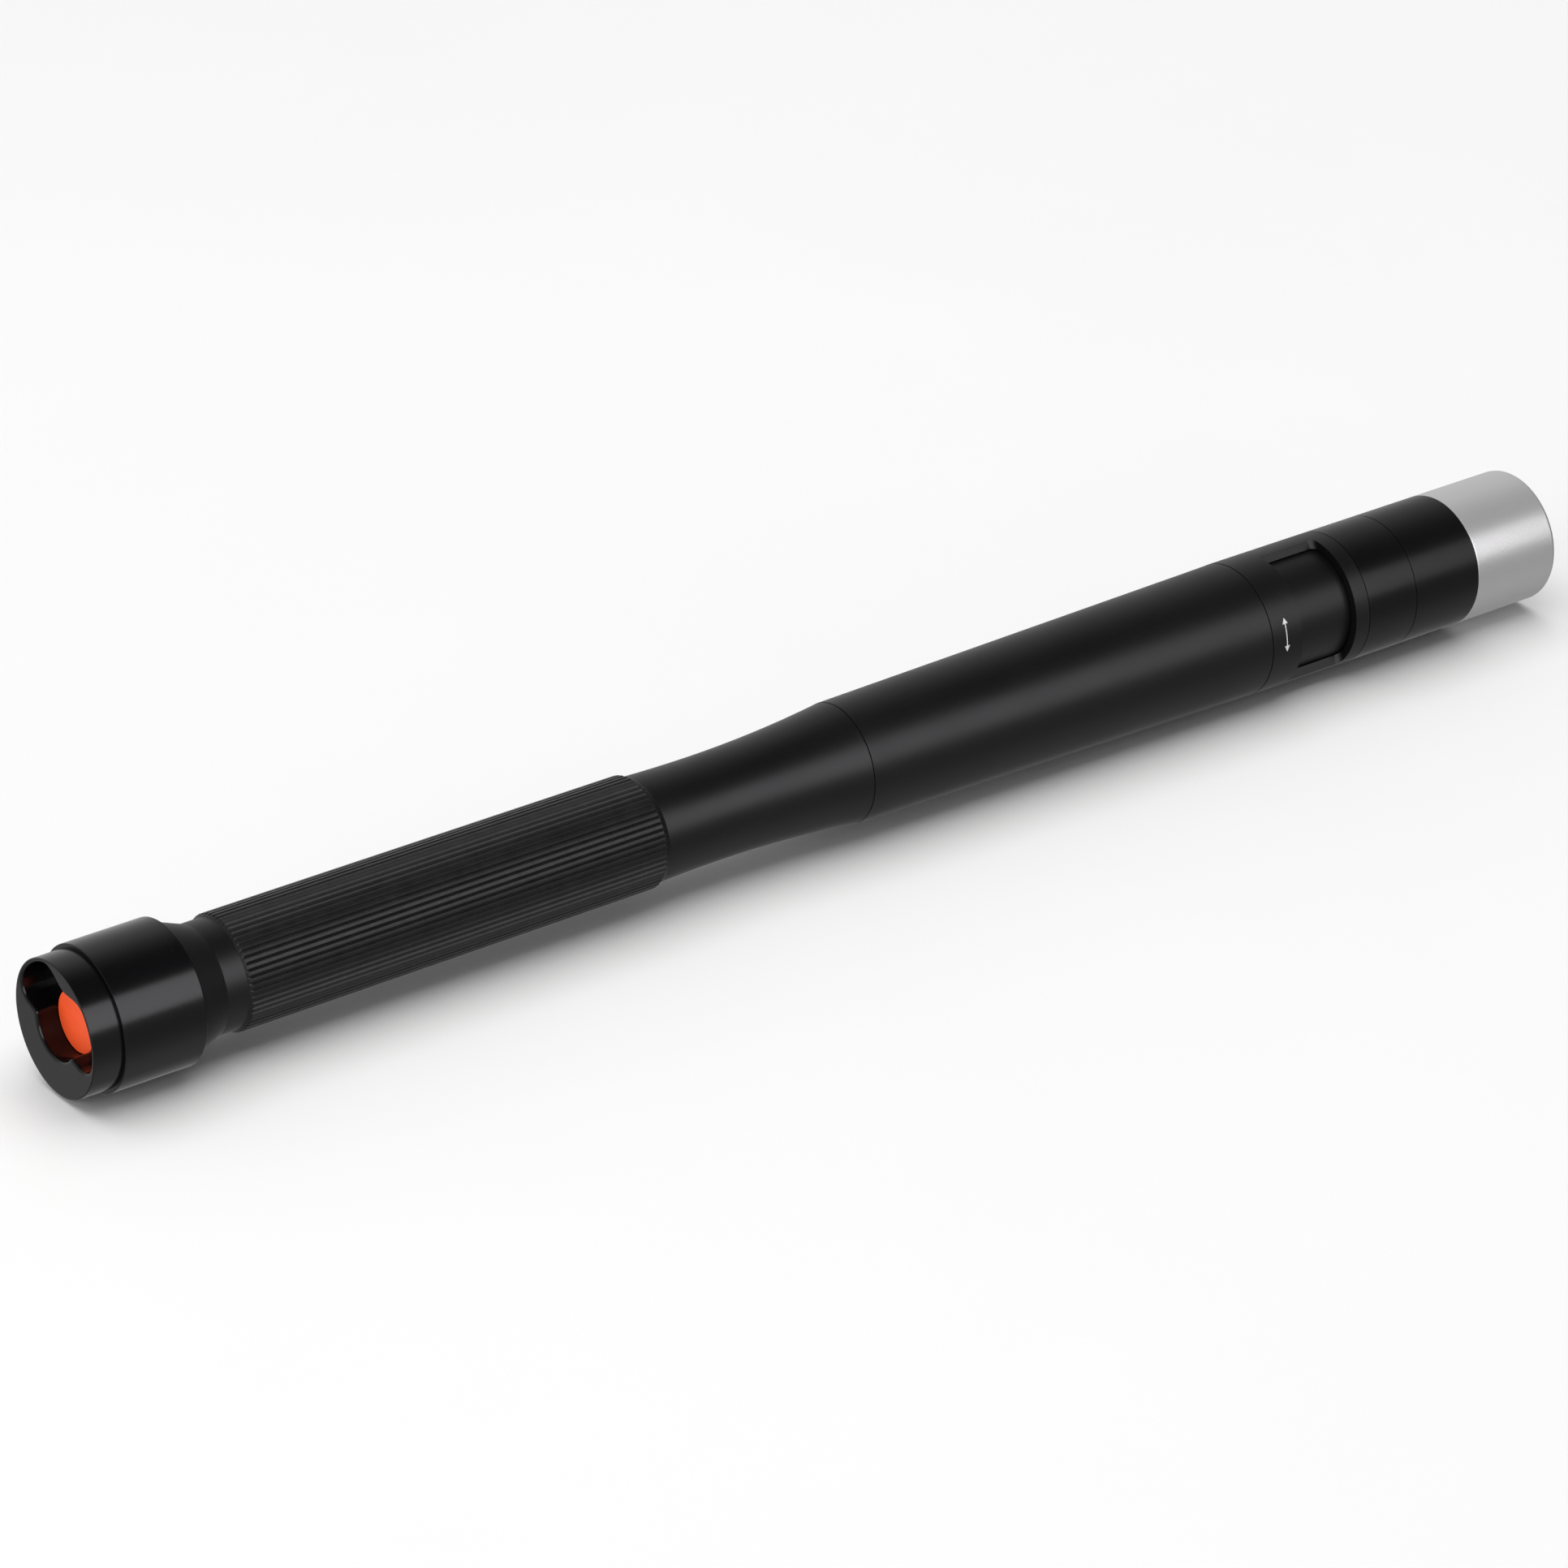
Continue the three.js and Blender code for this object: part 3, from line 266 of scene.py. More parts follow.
def wire(bm, places):
    """Draws a chain of edges through some places. Returns its corners."""
    corners = [bm.verts.new(place) for place in places]
    for pair in zip(corners, corners[1:]):
        bm.edges.new(pair)
    return corners


def outline(points, closed):
    """A wire through (station, radius) corners; a third number rounds that corner."""
    bm = bmesh.new()
    corners = wire(bm, [(station, 0, radius) for station, radius, *_ in points])
    if closed:
        bm.edges.new((corners[-1], corners[0]))
    for corner, (_, _, *edge) in zip(corners, points):
        if any(edge):
            bevel(bm, [corner], edge[0], CORNER_STEPS, "VERTICES")
    return bm


def turned(points, steps=STEPS, closed=None):
    """Turns an outline about the torch's axis. It is closed unless it starts and ends on the axis."""
    if closed is None:
        closed = points[0][1] > 0
    bm = outline(points, closed)
    swung(bm, bm.verts[:] + bm.edges[:], math.tau, steps, use_merge=True)
    return outward(joined(bm))


def sleeve(ends, outer, inner, edges, steps=STEPS):
    """A plain tube. The edges round its outer rear, outer front, inner front and inner rear corner."""
    start, end = ends
    corners = ((start, outer), (end, outer), (end, inner), (start, inner))
    return turned([(*corner, edge) for corner, edge in zip(corners, edges)], steps)


def disc(ends, radius, edge, steps=STEPS):
    """A plain round plate with softened edges."""
    start, end = ends
    return turned([(start, 0), (start, radius, edge), (end, radius, edge), (end, 0)], steps)


def helix(section, station, pitch, turns, steps=INNER_STEPS):
    """Winds a closed section of (along, radius) points round the axis and closes its two ends."""
    bm = bmesh.new()
    start = bm.faces.new([bm.verts.new((station + along, 0, radius)) for along, radius in section])
    around = start.verts[:] + start.edges[:]
    advance = (pitch / steps, 0, 0)
    wound = swung(bm, around, math.tau * turns, round(turns * steps), dvec=advance)
    bmesh.ops.edgeloop_fill(bm, edges=only(bmesh.types.BMEdge, wound["geom_last"]))
    return outward(bm)


def turn(bm, degrees, axis="X"):
    matrix = Matrix.Rotation(math.radians(degrees), 3, axis)
    bmesh.ops.rotate(bm, verts=bm.verts[:], cent=ORIGIN, matrix=matrix)


def shift(bm, along, up=0.0, across=0.0):
    bmesh.ops.translate(bm, verts=bm.verts[:], vec=(along, across, up))


def block(sides):
    """A block round the origin."""
    bm = bmesh.new()
    bmesh.ops.create_cube(bm, size=1)
    bmesh.ops.scale(bm, verts=bm.verts[:], vec=sides)
    return bm


def rounded_block(sides, corner, height):
    """A block with four round corners: its base is centred on Z = 0 and it stands up along +Z."""
    bm = bmesh.new()
    bmesh.ops.create_grid(bm, x_segments=1, y_segments=1, size=0.5)
    bmesh.ops.scale(bm, verts=bm.verts[:], vec=(*sides, 1))
    bevel(bm, bm.verts[:], corner, BLOCK_STEPS, "VERTICES")
    grown = bmesh.ops.extrude_face_region(bm, geom=bm.faces[:])["geom"]
    bmesh.ops.translate(bm, verts=only(bmesh.types.BMVert, grown), vec=(0, 0, height))
    return outward(bm)


def merged(bm, other):
    """Adds another shape to a shape."""
    mesh = bpy.data.meshes.new("part")
    other.to_mesh(mesh)
    other.free()
    bm.from_mesh(mesh)
    bpy.data.meshes.remove(mesh)
    return bm


def loose(bm, name):
    """An object of a shape."""
    mesh = bpy.data.meshes.new(name)
    bm.to_mesh(mesh)
    bm.free()
    made = bpy.data.objects.new(name, mesh)
    bpy.context.scene.collection.objects.link(made)
    return made


def carved(body, cutter):
    """Cuts a closed shape out of a closed body."""
    blank, tool = loose(body, "blank"), loose(cutter, "cutter")
    cut = blank.modifiers.new("cut", "BOOLEAN")
    cut.operation = "DIFFERENCE"
    cut.solver = "EXACT"
    cut.object = tool
    bpy.context.view_layer.update()
    left = bmesh.new()
    left.from_object(blank, bpy.context.evaluated_depsgraph_get())
    for used in (blank, tool):
        bpy.data.meshes.remove(used.data)
    if not left.faces:
        raise RuntimeError("a cut left nothing of its body")
    return joined(left)


def soften(bm, width, chosen):
    """Rounds the sharp edges that pass a test on their middle."""
    edges = [
        edge
        for edge in bm.edges
        if len(edge.link_faces) == 2
        and edge.calc_face_angle() > SHARP
        and chosen((edge.verts[0].co + edge.verts[1].co) / 2)
    ]
    bevel(bm, edges, width, SOFT_STEPS)


def paint(bm, index, chosen=None):
    """Gives a further finish to all faces, or to those that pass a test on their middle."""
    for face in bm.faces:
        if chosen is None or chosen(face.calc_center_median()):
            face.material_index = index


def off_axis(point):
    return math.hypot(point.y, point.z)


def finished(bm, name, body, finishes, slot, *nodes):
    """Moves a shape into the frame as a piece that rides on a body and stands for CAD nodes."""
    bmesh.ops.transform(bm, matrix=TO_FRAME, verts=bm.verts[:])
    piece = loose(bm, name)
    piece.data.shade_smooth()
    piece.data.set_sharp_from_angle(angle=SHARP)
    for finish in finishes:
        piece.data.materials.append(finish)
    shading = piece.modifiers.new("flat faces stay flat", "WEIGHTED_NORMAL")
    shading.keep_sharp = True
    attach(piece, body)
    if nodes:
        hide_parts(*nodes)


# Finishes


def add_node(tree, kind, inputs=None, **settings):
    """A shader node with its settings, whose inputs are set to values or fed by other nodes."""
    made = tree.nodes.new("ShaderNode" + kind)
    for key, value in settings.items():
        setattr(made, key, value)
    for key, value in (inputs or {}).items():
        if isinstance(value, bpy.types.NodeSocket):
            tree.links.new(value, made.inputs[key])
        else:
            made.inputs[key].default_value = value
    return made


def ranged(tree, source, start, end, low=0.0, high=1.0):
    """Maps a number's range from start to end onto the range from low to high."""
    inputs = {"Value": source, "From Min": start, "From Max": end, "To Min": low, "To Max": high}
    return add_node(tree, "MapRange", inputs).outputs["Result"]


class Finish:
    """A material whose patterns lie on Object coordinates, centred on the torch's axis at the tail.

    The scale of a pattern counts its clouds, cells or rings to the metre.
    """

    CLOUD_DETAIL = 3.0
    COLOUR_BAND = (0.3, 0.7)
    GLOSS_BAND = (0.25, 0.75)
    TRACK_SLANT = (0, math.radians(90), math.radians(12))
    TRACK_VALUES = {
        "Scale": 160,
        "Mortar Size": 0.03,
        "Color1": (0, 0, 0, 1),
        "Color2": (0.15, 0.15, 0.15, 1),
        "Mortar": (1, 1, 1, 1),
    }
    TRACK_LAYOUT = {"offset": 0.35, "squash": 1.6, "squash_frequency": 3}
    TRACK_RELIEF = (0.2, 0.03)

    def __init__(self, name, base, sockets):
        self.material = bpy.data.materials.new(name)
        self.material.use_nodes = True
        self.tree = self.material.node_tree
        self.shader = self.tree.nodes["Principled BSDF"]
        self.base = tuple(base)
        self.roughness = sockets["Roughness"]
        for socket, value in {"Base Color": (*self.base, 1), **sockets}.items():
            self.shader.inputs[socket].default_value = value
        self.place = self.node("TexCoord").outputs["Object"]
        self.place = self.mapped(Location=(-TAIL_X, 0, -AXIS_Z))
        self.normal = None

    def node(self, kind, inputs=None, **settings):
        return add_node(self.tree, kind, inputs, **settings)

    def feed(self, source, socket):
        self.tree.links.new(source, self.shader.inputs[socket])

    def mapped(self, **change):
        """The place on the torch, moved, turned or stretched."""
        return self.node("Mapping", {"Vector": self.place, **change}).outputs["Vector"]

    def pattern(self, kind, *values):
        """One of the three patterns below, by its name."""
        return getattr(self, kind)(*values)

    def noise(self, scale, detail, stretch=None):
        """Clouds, drawn out along an axis whose stretch is below 1."""
        place = self.mapped(Scale=stretch) if stretch else self.place
        return self.node("TexNoise", {"Vector": place, "Scale": scale, "Detail": detail}).outputs["Fac"]

    def cells(self, scale):
        """A random number for each of many small cells."""
        made = self.node("TexVoronoi", {"Vector": self.place, "Scale": scale})
        return self.node("SeparateColor", {"Color": made.outputs["Color"]}).outputs["Red"]

    def rings(self, scale):
        """Fine turning marks: noise that only changes with the distance from the axis."""
        flat = self.mapped(Scale=(0, 1, 1))
        distance = self.node("VectorMath", {0: flat}, operation="LENGTH").outputs["Value"]
        marks = {"W": distance, "Scale": scale, "Detail": self.CLOUD_DETAIL}
        return self.node("TexNoise", marks, noise_dimensions="1D").outputs["Fac"]

    def tint(self, factor, other):
        """Mixes another colour into the base colour, on top of earlier tints."""
        socket = self.shader.inputs["Base Color"]
        under = socket.links[0].from_socket if socket.links else (*self.base, 1)
        mix = self.node("Mix", {0: factor, 6: under, 7: (*other, 1)}, data_type="RGBA")
        self.feed(mix.outputs[2], "Base Color")

    def mottle(self, scale, amount):
        """Colour that wanders a little either side of the base."""
        paler = [min(1.0, channel * (1 + amount)) for channel in self.base]
        self.base = [channel * (1 - amount) for channel in self.base]
        self.tint(ranged(self.tree, self.noise(scale, self.CLOUD_DETAIL), *self.COLOUR_BAND), paler)

    def specks(self, scale, rarity, other):
        """Sparse dust: the rarest of many cells take another colour."""
        self.tint(ranged(self.tree, self.cells(scale), rarity, 1.0), other)

    def tracks(self, copper):
        """Copper lines of a circuit board, raised under its lacquer."""
        inputs = {"Vector": self.mapped(Rotation=self.TRACK_SLANT), **self.TRACK_VALUES}
        lines = self.node("TexBrick", inputs, **self.TRACK_LAYOUT).outputs["Color"]
        self.tint(lines, copper)
        self.raised(lines, *self.TRACK_RELIEF)

    def gloss(self, pattern, spread):
        """Roughness that follows a pattern either side of its own value."""
        low, high = self.roughness - spread, self.roughness + spread
        self.feed(ranged(self.tree, self.pattern(*pattern), *self.GLOSS_BAND, low, high), "Roughness")

    def relief(self, pattern, strength, depth):
        self.raised(self.pattern(*pattern), strength, depth)

    def raised(self, source, strength, depth):
        """Raises the surface, on top of earlier relief, to a depth in millimetres."""
        inputs = {"Height": source, "Strength": strength, "Distance": depth * MM}
        if self.normal is not None:
            inputs["Normal"] = self.normal
        self.normal = self.node("Bump", inputs).outputs["Normal"]
        self.feed(self.normal, "Normal")


# Each kind of finish lists the steps of Finish that make it, with their values
ANODISED = (  # aluminium over a bead-blasted surface
    ("mottle", 40, 0.18),
    ("specks", 6000, 0.9997, (0.04, 0.038, 0.038)),
    ("gloss", ("noise", 60, 4), 0.025),
    ("relief", ("noise", 5200, 2), 0.10, 0.02),
)
RIBBED = (  # grip with fine dust in its grain
    ("mottle", 300, 0.25),
    ("specks", 5600, 0.9988, (0.05, 0.048, 0.048)),
    ("gloss", ("noise", 900, 4), 0.06),
    ("relief", ("noise", 3800, 4), 0.25, 0.03),
)
BLASTED = (  # bare aluminium with a fine sparkle
    ("mottle", 5200, 0.01),
    ("gloss", ("cells", 5200), 0.012),
    ("relief", ("noise", 2600, 2), 0.8, 0.03),
    ("relief", ("cells", 4200), 0.04, 0.02),
)
BUTTON = (  # rubber with faint turning marks from its mould
    ("mottle", 220, 0.05),
    ("gloss", ("rings", 2200), 0.08),
    ("relief", ("rings", 1700), 0.20, 0.03),
    ("relief", ("noise", 6000, 2), 0.10, 0.02),
)
PRINTED = (  # pad-printed ink
    ("mottle", 2500, 0.06),
    ("gloss", ("noise", 1800, 3), 0.08),
    ("relief", ("noise", 6000, 2), 0.15, 0.01),
)
MOULDED = (  # plastic or rubber with a fine grain
    ("mottle", 180, 0.12),
    ("gloss", ("noise", 700, 3), 0.05),
    ("relief", ("noise", 2600, 3), 0.18, 0.02),
)
TURNED = (  # metal with fine marks round the axis
    ("mottle", 350, 0.08),
    ("gloss", ("noise", 500, 4), 0.06),
    ("relief", ("rings", 1600), 0.15, 0.02),
    ("relief", ("noise", 2400, 2, (3, 1, 1)), 0.08, 0.02),
)
COATED = (  # vapour coat with a faint ripple
    ("mottle", 90, 0.03),
    ("gloss", ("noise", 300, 2), 0.02),
    ("relief", ("noise", 800, 2), 0.05, 0.02),
)
SHRUNK = (  # plastic sleeve with fine stretch lines along it
    ("mottle", 160, 0.10),
    ("gloss", ("noise", 400, 3, (0.1, 1, 1)), 0.06),
    ("relief", ("noise", 700, 3, (0.05, 1, 1)), 0.20, 0.03),
)
GLOWING = (  # phosphor grains under a clear dome
    ("mottle", 2600, 0.20),
    ("specks", 2200, 0.9, (0.9, 0.75, 0.25)),
    ("gloss", ("noise", 1800, 2), 0.05),
    ("relief", ("noise", 2200, 2), 0.12, 0.02),
)
FILMED = (("mottle", 60, 0.01), ("gloss", ("noise", 120, 4), 0.02))  # glass with a faint film on it
INSULATED = (  # smooth plastic on a lead
    ("mottle", 600, 0.10),
    ("gloss", ("noise", 900, 2), 0.06),
    ("relief", ("noise", 1500, 2, (0.2, 1, 1)), 0.10, 0.02),
)
LAID = (("mottle", 3, 0.01), ("gloss", ("noise", 40, 3), 0.05))  # floor of the studio


def etched(copper):
    """Steps of a circuit board: lacquer over copper lines."""
    return (
        ("mottle", 900, 0.15),
        ("tracks", copper),
        ("gloss", ("noise", 1200, 2), 0.05),
    )


def shine(roughness, **others):
    """The shader's even values, by socket."""
    named = {
        "specular": "Specular IOR Level",
        "metal": "Metallic",
        "coat": "Coat Weight",
        "coat_roughness": "Coat Roughness",
        "clear": "Transmission Weight",
        "ior": "IOR",
    }
    return {"Roughness": roughness, **{named[key]: value for key, value in others.items()}}


# Short name: material, colour in the sidebar, shader values and steps
FINISHES = {
    "satin": ("anodised satin", "anodised", shine(0.39, specular=0.245), ANODISED),
    "gloss": ("anodised gloss", "anodised", shine(0.2, specular=0.24), ANODISED),
    "front": ("anodised front", "anodised", shine(0.26, specular=0.205), ANODISED),
    "grip": ("grip black", "grip", shine(0.37, specular=0.19), RIBBED),
    "silver": ("blasted silver", "silver", shine(0.3, metal=0.5), BLASTED),
    "button": ("button orange", "button", shine(0.55, specular=0.4), BUTTON),
    "mark": ("mark white", "mark", shine(0.5), PRINTED),
    "seal": ("seal rubber", "seal", shine(0.62), MOULDED),
    "plastic": ("black plastic", "plastic", shine(0.48), MOULDED),
    "pale": ("white plastic", "pale_plastic", shine(0.42), MOULDED),
    "board": ("circuit board", "board", shine(0.38, coat=0.25), etched((0.03, 0.22, 0.08))),
    "lamp_board": ("lamp board", "lamp_board", shine(0.38, coat=0.25), etched((0.62, 0.60, 0.55))),
    "brass": ("turned brass", "brass", shine(0.30, metal=1.0), TURNED),
    "steel": ("bright steel", "steel", shine(0.28, metal=1.0), TURNED),
    "aluminium": ("aluminium", "aluminium", shine(0.36, metal=1.0), TURNED),
    "mirror": ("mirror coat", "mirror", shine(0.07, metal=1.0), COATED),
    "wrap": ("cell wrap", "wrap", shine(0.34, coat=0.2), SHRUNK),
    "phosphor": ("lamp phosphor", "phosphor", shine(0.30, coat=1.0, coat_roughness=0.03), GLOWING),
    "glass": ("clear glass", "glass", shine(0.03, clear=1.0, ior=1.5), FILMED),
    "red_wire": ("red wire", "red_wire", shine(0.36, coat=0.15), INSULATED),
    "black_wire": ("black wire", "black_wire", shine(0.36, coat=0.15), INSULATED),
}


def made_finish(name, base, sockets, steps):
    made = Finish(name, base, sockets)
    for step, *values in steps:
        getattr(made, step)(*values)
    return made.material


def finish_set(context):
    """All finishes by their short names, made at the first call."""
    colours = context.scene.torch_colours
    found = {}
    for key, (name, tone, sockets, steps) in FINISHES.items():
        kept = bpy.data.materials.get(name)
        found[key] = kept or made_finish(name, getattr(colours, tone), sockets, steps)
    return SimpleNamespace(**found)


# Tail cap and button. Lengths are in millimetres and clocks in degrees

LOBE_CLOCK = 21  # clock of the tooth between the lobes
LOBE_START = 33  # from the tooth to the round side of a lobe
FLANK_STEPS, LOBE_STEPS, LOBE_CORNER_STEPS, BORE_STEPS = 12, 14, 12, 22
BUMP_ROUND, BUMP_STEPS = 0.35, 3  # where a lobe's straight side meets the bore
RIM_STEPS = 4
CAP_TOOTH_PITCH, CAP_TOOTH_DEPTH = 0.5, 0.35
CAP_THREAD_LEAD, CAP_THREAD_RELIEF = 1.2, 2.0
CAP_MOUTH_ROUND = 0.35
BUTTON_GAP = 0.15
BUTTON_ROUND, FLANGE_ROUND = 0.2, 0.15
FLOOR_LIP = 0.05  # from the opening's wall to the edge of its floor round the button
FACE_RIM = 0.02  # flat strip inside the round edge of the tail face


def polar(radius, degrees):
    """A point of the thumb opening; angle 0 points along the tooth."""
    angle = math.radians(degrees)
    return radius * math.cos(angle), radius * math.sin(angle)


def arc(radius, start, end, steps, centre=(0, 0)):
    """Points of the thumb opening from one angle to another."""
    points = [polar(radius, start + (end - start) * i / steps) for i in range(steps + 1)]
    return [(centre[0] + up, centre[1] + across) for up, across in points]


def thumb_outline(size, bore, grow):
    """The thumb opening, grown all round, as one face: a tooth, two lobes and the button's bore."""
    far, shelf, corner = size.lobe_reach + grow, size.lobe_shelf + grow, size.lobe_corner + grow
    tooth, bore = size.tooth_reach + grow, bore + grow
    middle = far - corner
    turn_in = math.degrees(math.acos((corner - shelf) / middle))
    half = []
    for i in range(FLANK_STEPS):
        share = i / FLANK_STEPS
        radius = tooth + (far - tooth) * share * share * (3 - 2 * share)
        half.append(polar(radius, LOBE_START * share))
    half += arc(far, LOBE_START, turn_in, LOBE_STEPS)
    half += arc(corner, turn_in, 180, LOBE_CORNER_STEPS, polar(middle, turn_in))[1:]
    bump = len(half)
    half += arc(bore, math.degrees(math.acos(-shelf / bore)), 180, BORE_STEPS)
    bm = bmesh.new()
    corners = wire(bm, [(0, -across, up) for up, across in half])
    bevel(bm, [corners[bump]], BUMP_ROUND, BUMP_STEPS, "VERTICES")
    bmesh.ops.mirror(bm, geom=bm.verts[:] + bm.edges[:], axis="Y", merge_dist=MERGE)
    joined(bm)
    bmesh.ops.edgeloop_fill(bm, edges=bm.edges[:])
    turn(bm, LOBE_CLOCK)
    return bm


def sink_opening(bm, rim, depth):
    """Rounds the opening's rim, pushes its walls down and leaves the floor open."""
    face = bm.faces[:][0]
    done = (0.0, 0.0)
    for i in range(1, RIM_STEPS + 1):
        angle = math.pi / 2 * i / RIM_STEPS
        inward, down = rim * math.sin(angle), rim * (1 - math.cos(angle))
        bmesh.ops.inset_region(
            bm, faces=[face], thickness=inward - done[0], use_boundary=True, use_even_offset=True
        )
        bmesh.ops.translate(bm, verts=face.verts[:], vec=(down - done[1], 0, 0))
        done = (inward, down)
    grown = bmesh.ops.extrude_face_region(bm, geom=[face])["geom"]
    bmesh.ops.translate(bm, verts=only(bmesh.types.BMVert, grown), vec=(depth - rim, 0, 0))
    many_sided = [item for item in bm.faces if len(item.verts) > 4]
    bmesh.ops.delete(bm, geom=many_sided, context="FACES_ONLY")


def rim_edges(bm, station):
    """Open edges at a station."""
    return [
        edge
        for edge in bm.edges
        if edge.is_boundary and all(abs(vert.co.x - station) < MERGE for vert in edge.verts)
    ]


class TORCH_OT_tail_cap(bpy.types.Operator):
    """Turns the tail cap and sinks the two-lobed thumb opening into its face"""

    bl_idname = "torch.tail_cap"
    bl_label = "Tail Cap"

    def execute(self, context):
        size = in_mm(context.scene.torch_sizes)
        end = span("tail_cap")[1]
        radius = reach("tail_cap")
        bore = size.button_radius + BUTTON_GAP
        teeth = int((end - CAP_THREAD_RELIEF - size.cap_thread_start) / CAP_TOOTH_PITCH)
        thread = [
            (end - CAP_THREAD_LEAD - i * CAP_TOOTH_PITCH, size.cap_bore + i % 2 * CAP_TOOTH_DEPTH)
            for i in range(teeth)
        ]
        bm = turned(
            [
                (0, size.collar_radius - size.collar_round - FACE_RIM),
                (0, size.collar_radius, size.collar_round),
                (size.collar_length, size.collar_radius),
                (size.collar_length, radius, size.cap_edge),
                (end, radius, size.cap_round),
                (end, size.cap_bore, CAP_MOUTH_ROUND),
                *thread,
                (size.cap_thread_start, size.cap_bore),
                (size.cap_thread_start, size.switch_bore),
                (size.end_wall, size.switch_bore),
                (size.end_wall, bore - FLOOR_LIP),
                (size.lobe_depth, bore - FLOOR_LIP),
            ],
            closed=False,
        )
        opening = thumb_outline(size, bore, size.rim_round)
        sink_opening(opening, size.rim_round, size.lobe_depth)
        merged(bm, opening)
        for station in (0, size.lobe_depth):
            bmesh.ops.triangle_fill(
                bm, use_beauty=True, use_dissolve=False, edges=rim_edges(bm, station), normal=(-1, 0, 0)
            )
        if any(edge.is_boundary for edge in bm.edges):
            raise RuntimeError("the tail cap isn't closed")
        finish = finish_set(context).gloss
        finished(outward(bm), "tail_cap_shell", "tail_cap", [finish], "black_anodised", "tail_cap")
        return {"FINISHED"}


class TORCH_OT_switch_button(bpy.types.Operator):
    """Turns the orange push button in the bottom of the thumb opening"""

    bl_idname = "torch.switch_button"
    bl_label = "Push Button"

    def execute(self, context):
        size = in_mm(context.scene.torch_sizes)
        start, end = span("switch_button")
        flange = reach("switch_button")
        ledge = end - size.button_flange
        bm = turned(
            [
                (start, 0),
                (start, size.button_radius, BUTTON_ROUND),
                (ledge, size.button_radius),
                (ledge, flange, FLANGE_ROUND),
                (end, flange, FLANGE_ROUND),
                (end, 0),
            ],
            INNER_STEPS,
        )
        finish = finish_set(context).button
        finished(bm, "push_button", "switch_button", [finish], "orange_button", "switch_button")
        return {"FINISHED"}


# Handle and grip

END_ROUND = 0.3
GROOVE_HALF, GROOVE_DEPTH = 1.0, 1.2  # groove of a seal: half its width, and its depth
SEAL_LAND = 1.6  # from the middle of the tail seal back to the thread
SEAL_EDGE = 0.1
TAIL_THREAD_DEPTH, TAIL_THREAD_SUNK = 0.55, 0.1
TAIL_THREAD_LEAD, TAIL_THREAD_PITCH, TAIL_THREAD_TURNS = 0.9, 1.05, 3.4
TAIL_RIDGE_FOOT, TAIL_RIDGE_TIP = 0.45, 0.08  # half widths of the thread's ridge
FLARE_ROUND, NECK_ROUND, NECK_EDGE = 0.2, 0.05, 0.1
GRIP_BED = 1.6  # wall of the handle under the grip
WAIST_REAR_SHARES = (1, 0.75, 0.5, 0.25)
WAIST_STEPS = 20
RIB_FOOT = (0.02, 0.01)  # share of the pitch, and height above the groove's bottom
RIB_EDGE = ((0.22, 0.05), (0.27, 0.012))  # shares of the pitch, and depths below the rib's top
GROOVE_FADE = 0.85  # share of the grooves' depth that the cones take off at their low ends
GRIP_LAP = 0.05
CONE_STEPS = 6


def seal_groove(node, level, *edge):
    """Outline of the groove that a seal lies in, cut into a surface at a radius."""
    middle = sum(span(node)) / 2
    rear, front, floor = middle - GROOVE_HALF, middle + GROOVE_HALF, level - GROOVE_DEPTH
    return [(rear, level, *edge), (rear, floor), (front, floor), (front, level, *edge)]


def waist_points(size, grip_end, handle_end):
    """The handle's swelling outline ahead of the grip."""
    slim = grip_end + size.waist_setback
    front_shares = [i / WAIST_STEPS for i in range(WAIST_STEPS)]
    points = []
    for end, radius, shares in (
        (grip_end, size.waist_rear, WAIST_REAR_SHARES),
        (handle_end, size.handle_end, front_shares),
    ):
        for share in shares:
            swell = (radius - size.waist_radius) * share * share
            points.append((slim + (end - slim) * share, size.waist_radius + swell))
    return points


class TORCH_OT_handle(bpy.types.Operator):
    """Turns the handle tube and winds the thread that the cap screws on"""

    bl_idname = "torch.handle"
    bl_label = "Handle"

    def execute(self, context):
        size = in_mm(context.scene.torch_sizes)
        finish = finish_set(context).satin
        rear, front = span("handle_tube")
        grip_start, grip_end = span("grip_sleeve")
        handle_end = casing_span("barrel_tube", size)[0] - size.seam_gap
        shoulder = span("tail_cap")[1] + CLEARANCE
        land = sum(span("tail_oring")) / 2 - SEAL_LAND
        crest = size.cap_bore - CLEARANCE
        root = crest - TAIL_THREAD_DEPTH
        front_thread = reach("contact_board", INNER_FACETS)
        bed = size.cell_bore + GRIP_BED
        bm = turned(
            [
                (rear, size.cell_bore, END_ROUND),
                (rear, root, END_ROUND),
                (land, root),
                (land, crest, SEAL_EDGE),
                *seal_groove("tail_oring", crest, SEAL_EDGE),
                (shoulder, crest),
                (shoulder, size.flare_radius, FLARE_ROUND),
                (shoulder + size.flare_length, size.neck_radius, NECK_ROUND),
                (grip_start, size.neck_radius, NECK_EDGE),
                (grip_start, bed),
                (grip_end, bed),
                *waist_points(size, grip_end, handle_end),
                (handle_end, size.handle_end, size.seam_edge),
                (handle_end, front_thread),
                (front, front_thread, END_ROUND),
                (front, size.cell_bore, END_ROUND),
            ]
        )
        finished(bm, "handle_shell", "torch_body", [finish], "black_anodised", "handle_tube")
        foot, tip, sunk = TAIL_RIDGE_FOOT, TAIL_RIDGE_TIP, root - TAIL_THREAD_SUNK
        ridge = [(-foot, sunk), (-tip, crest), (tip, crest), (foot, sunk)]
        thread = helix(ridge, rear + TAIL_THREAD_LEAD, TAIL_THREAD_PITCH, TAIL_THREAD_TURNS)
        finished(thread, "tail_thread", "torch_body", [finish], "black_anodised")
        return {"FINISHED"}


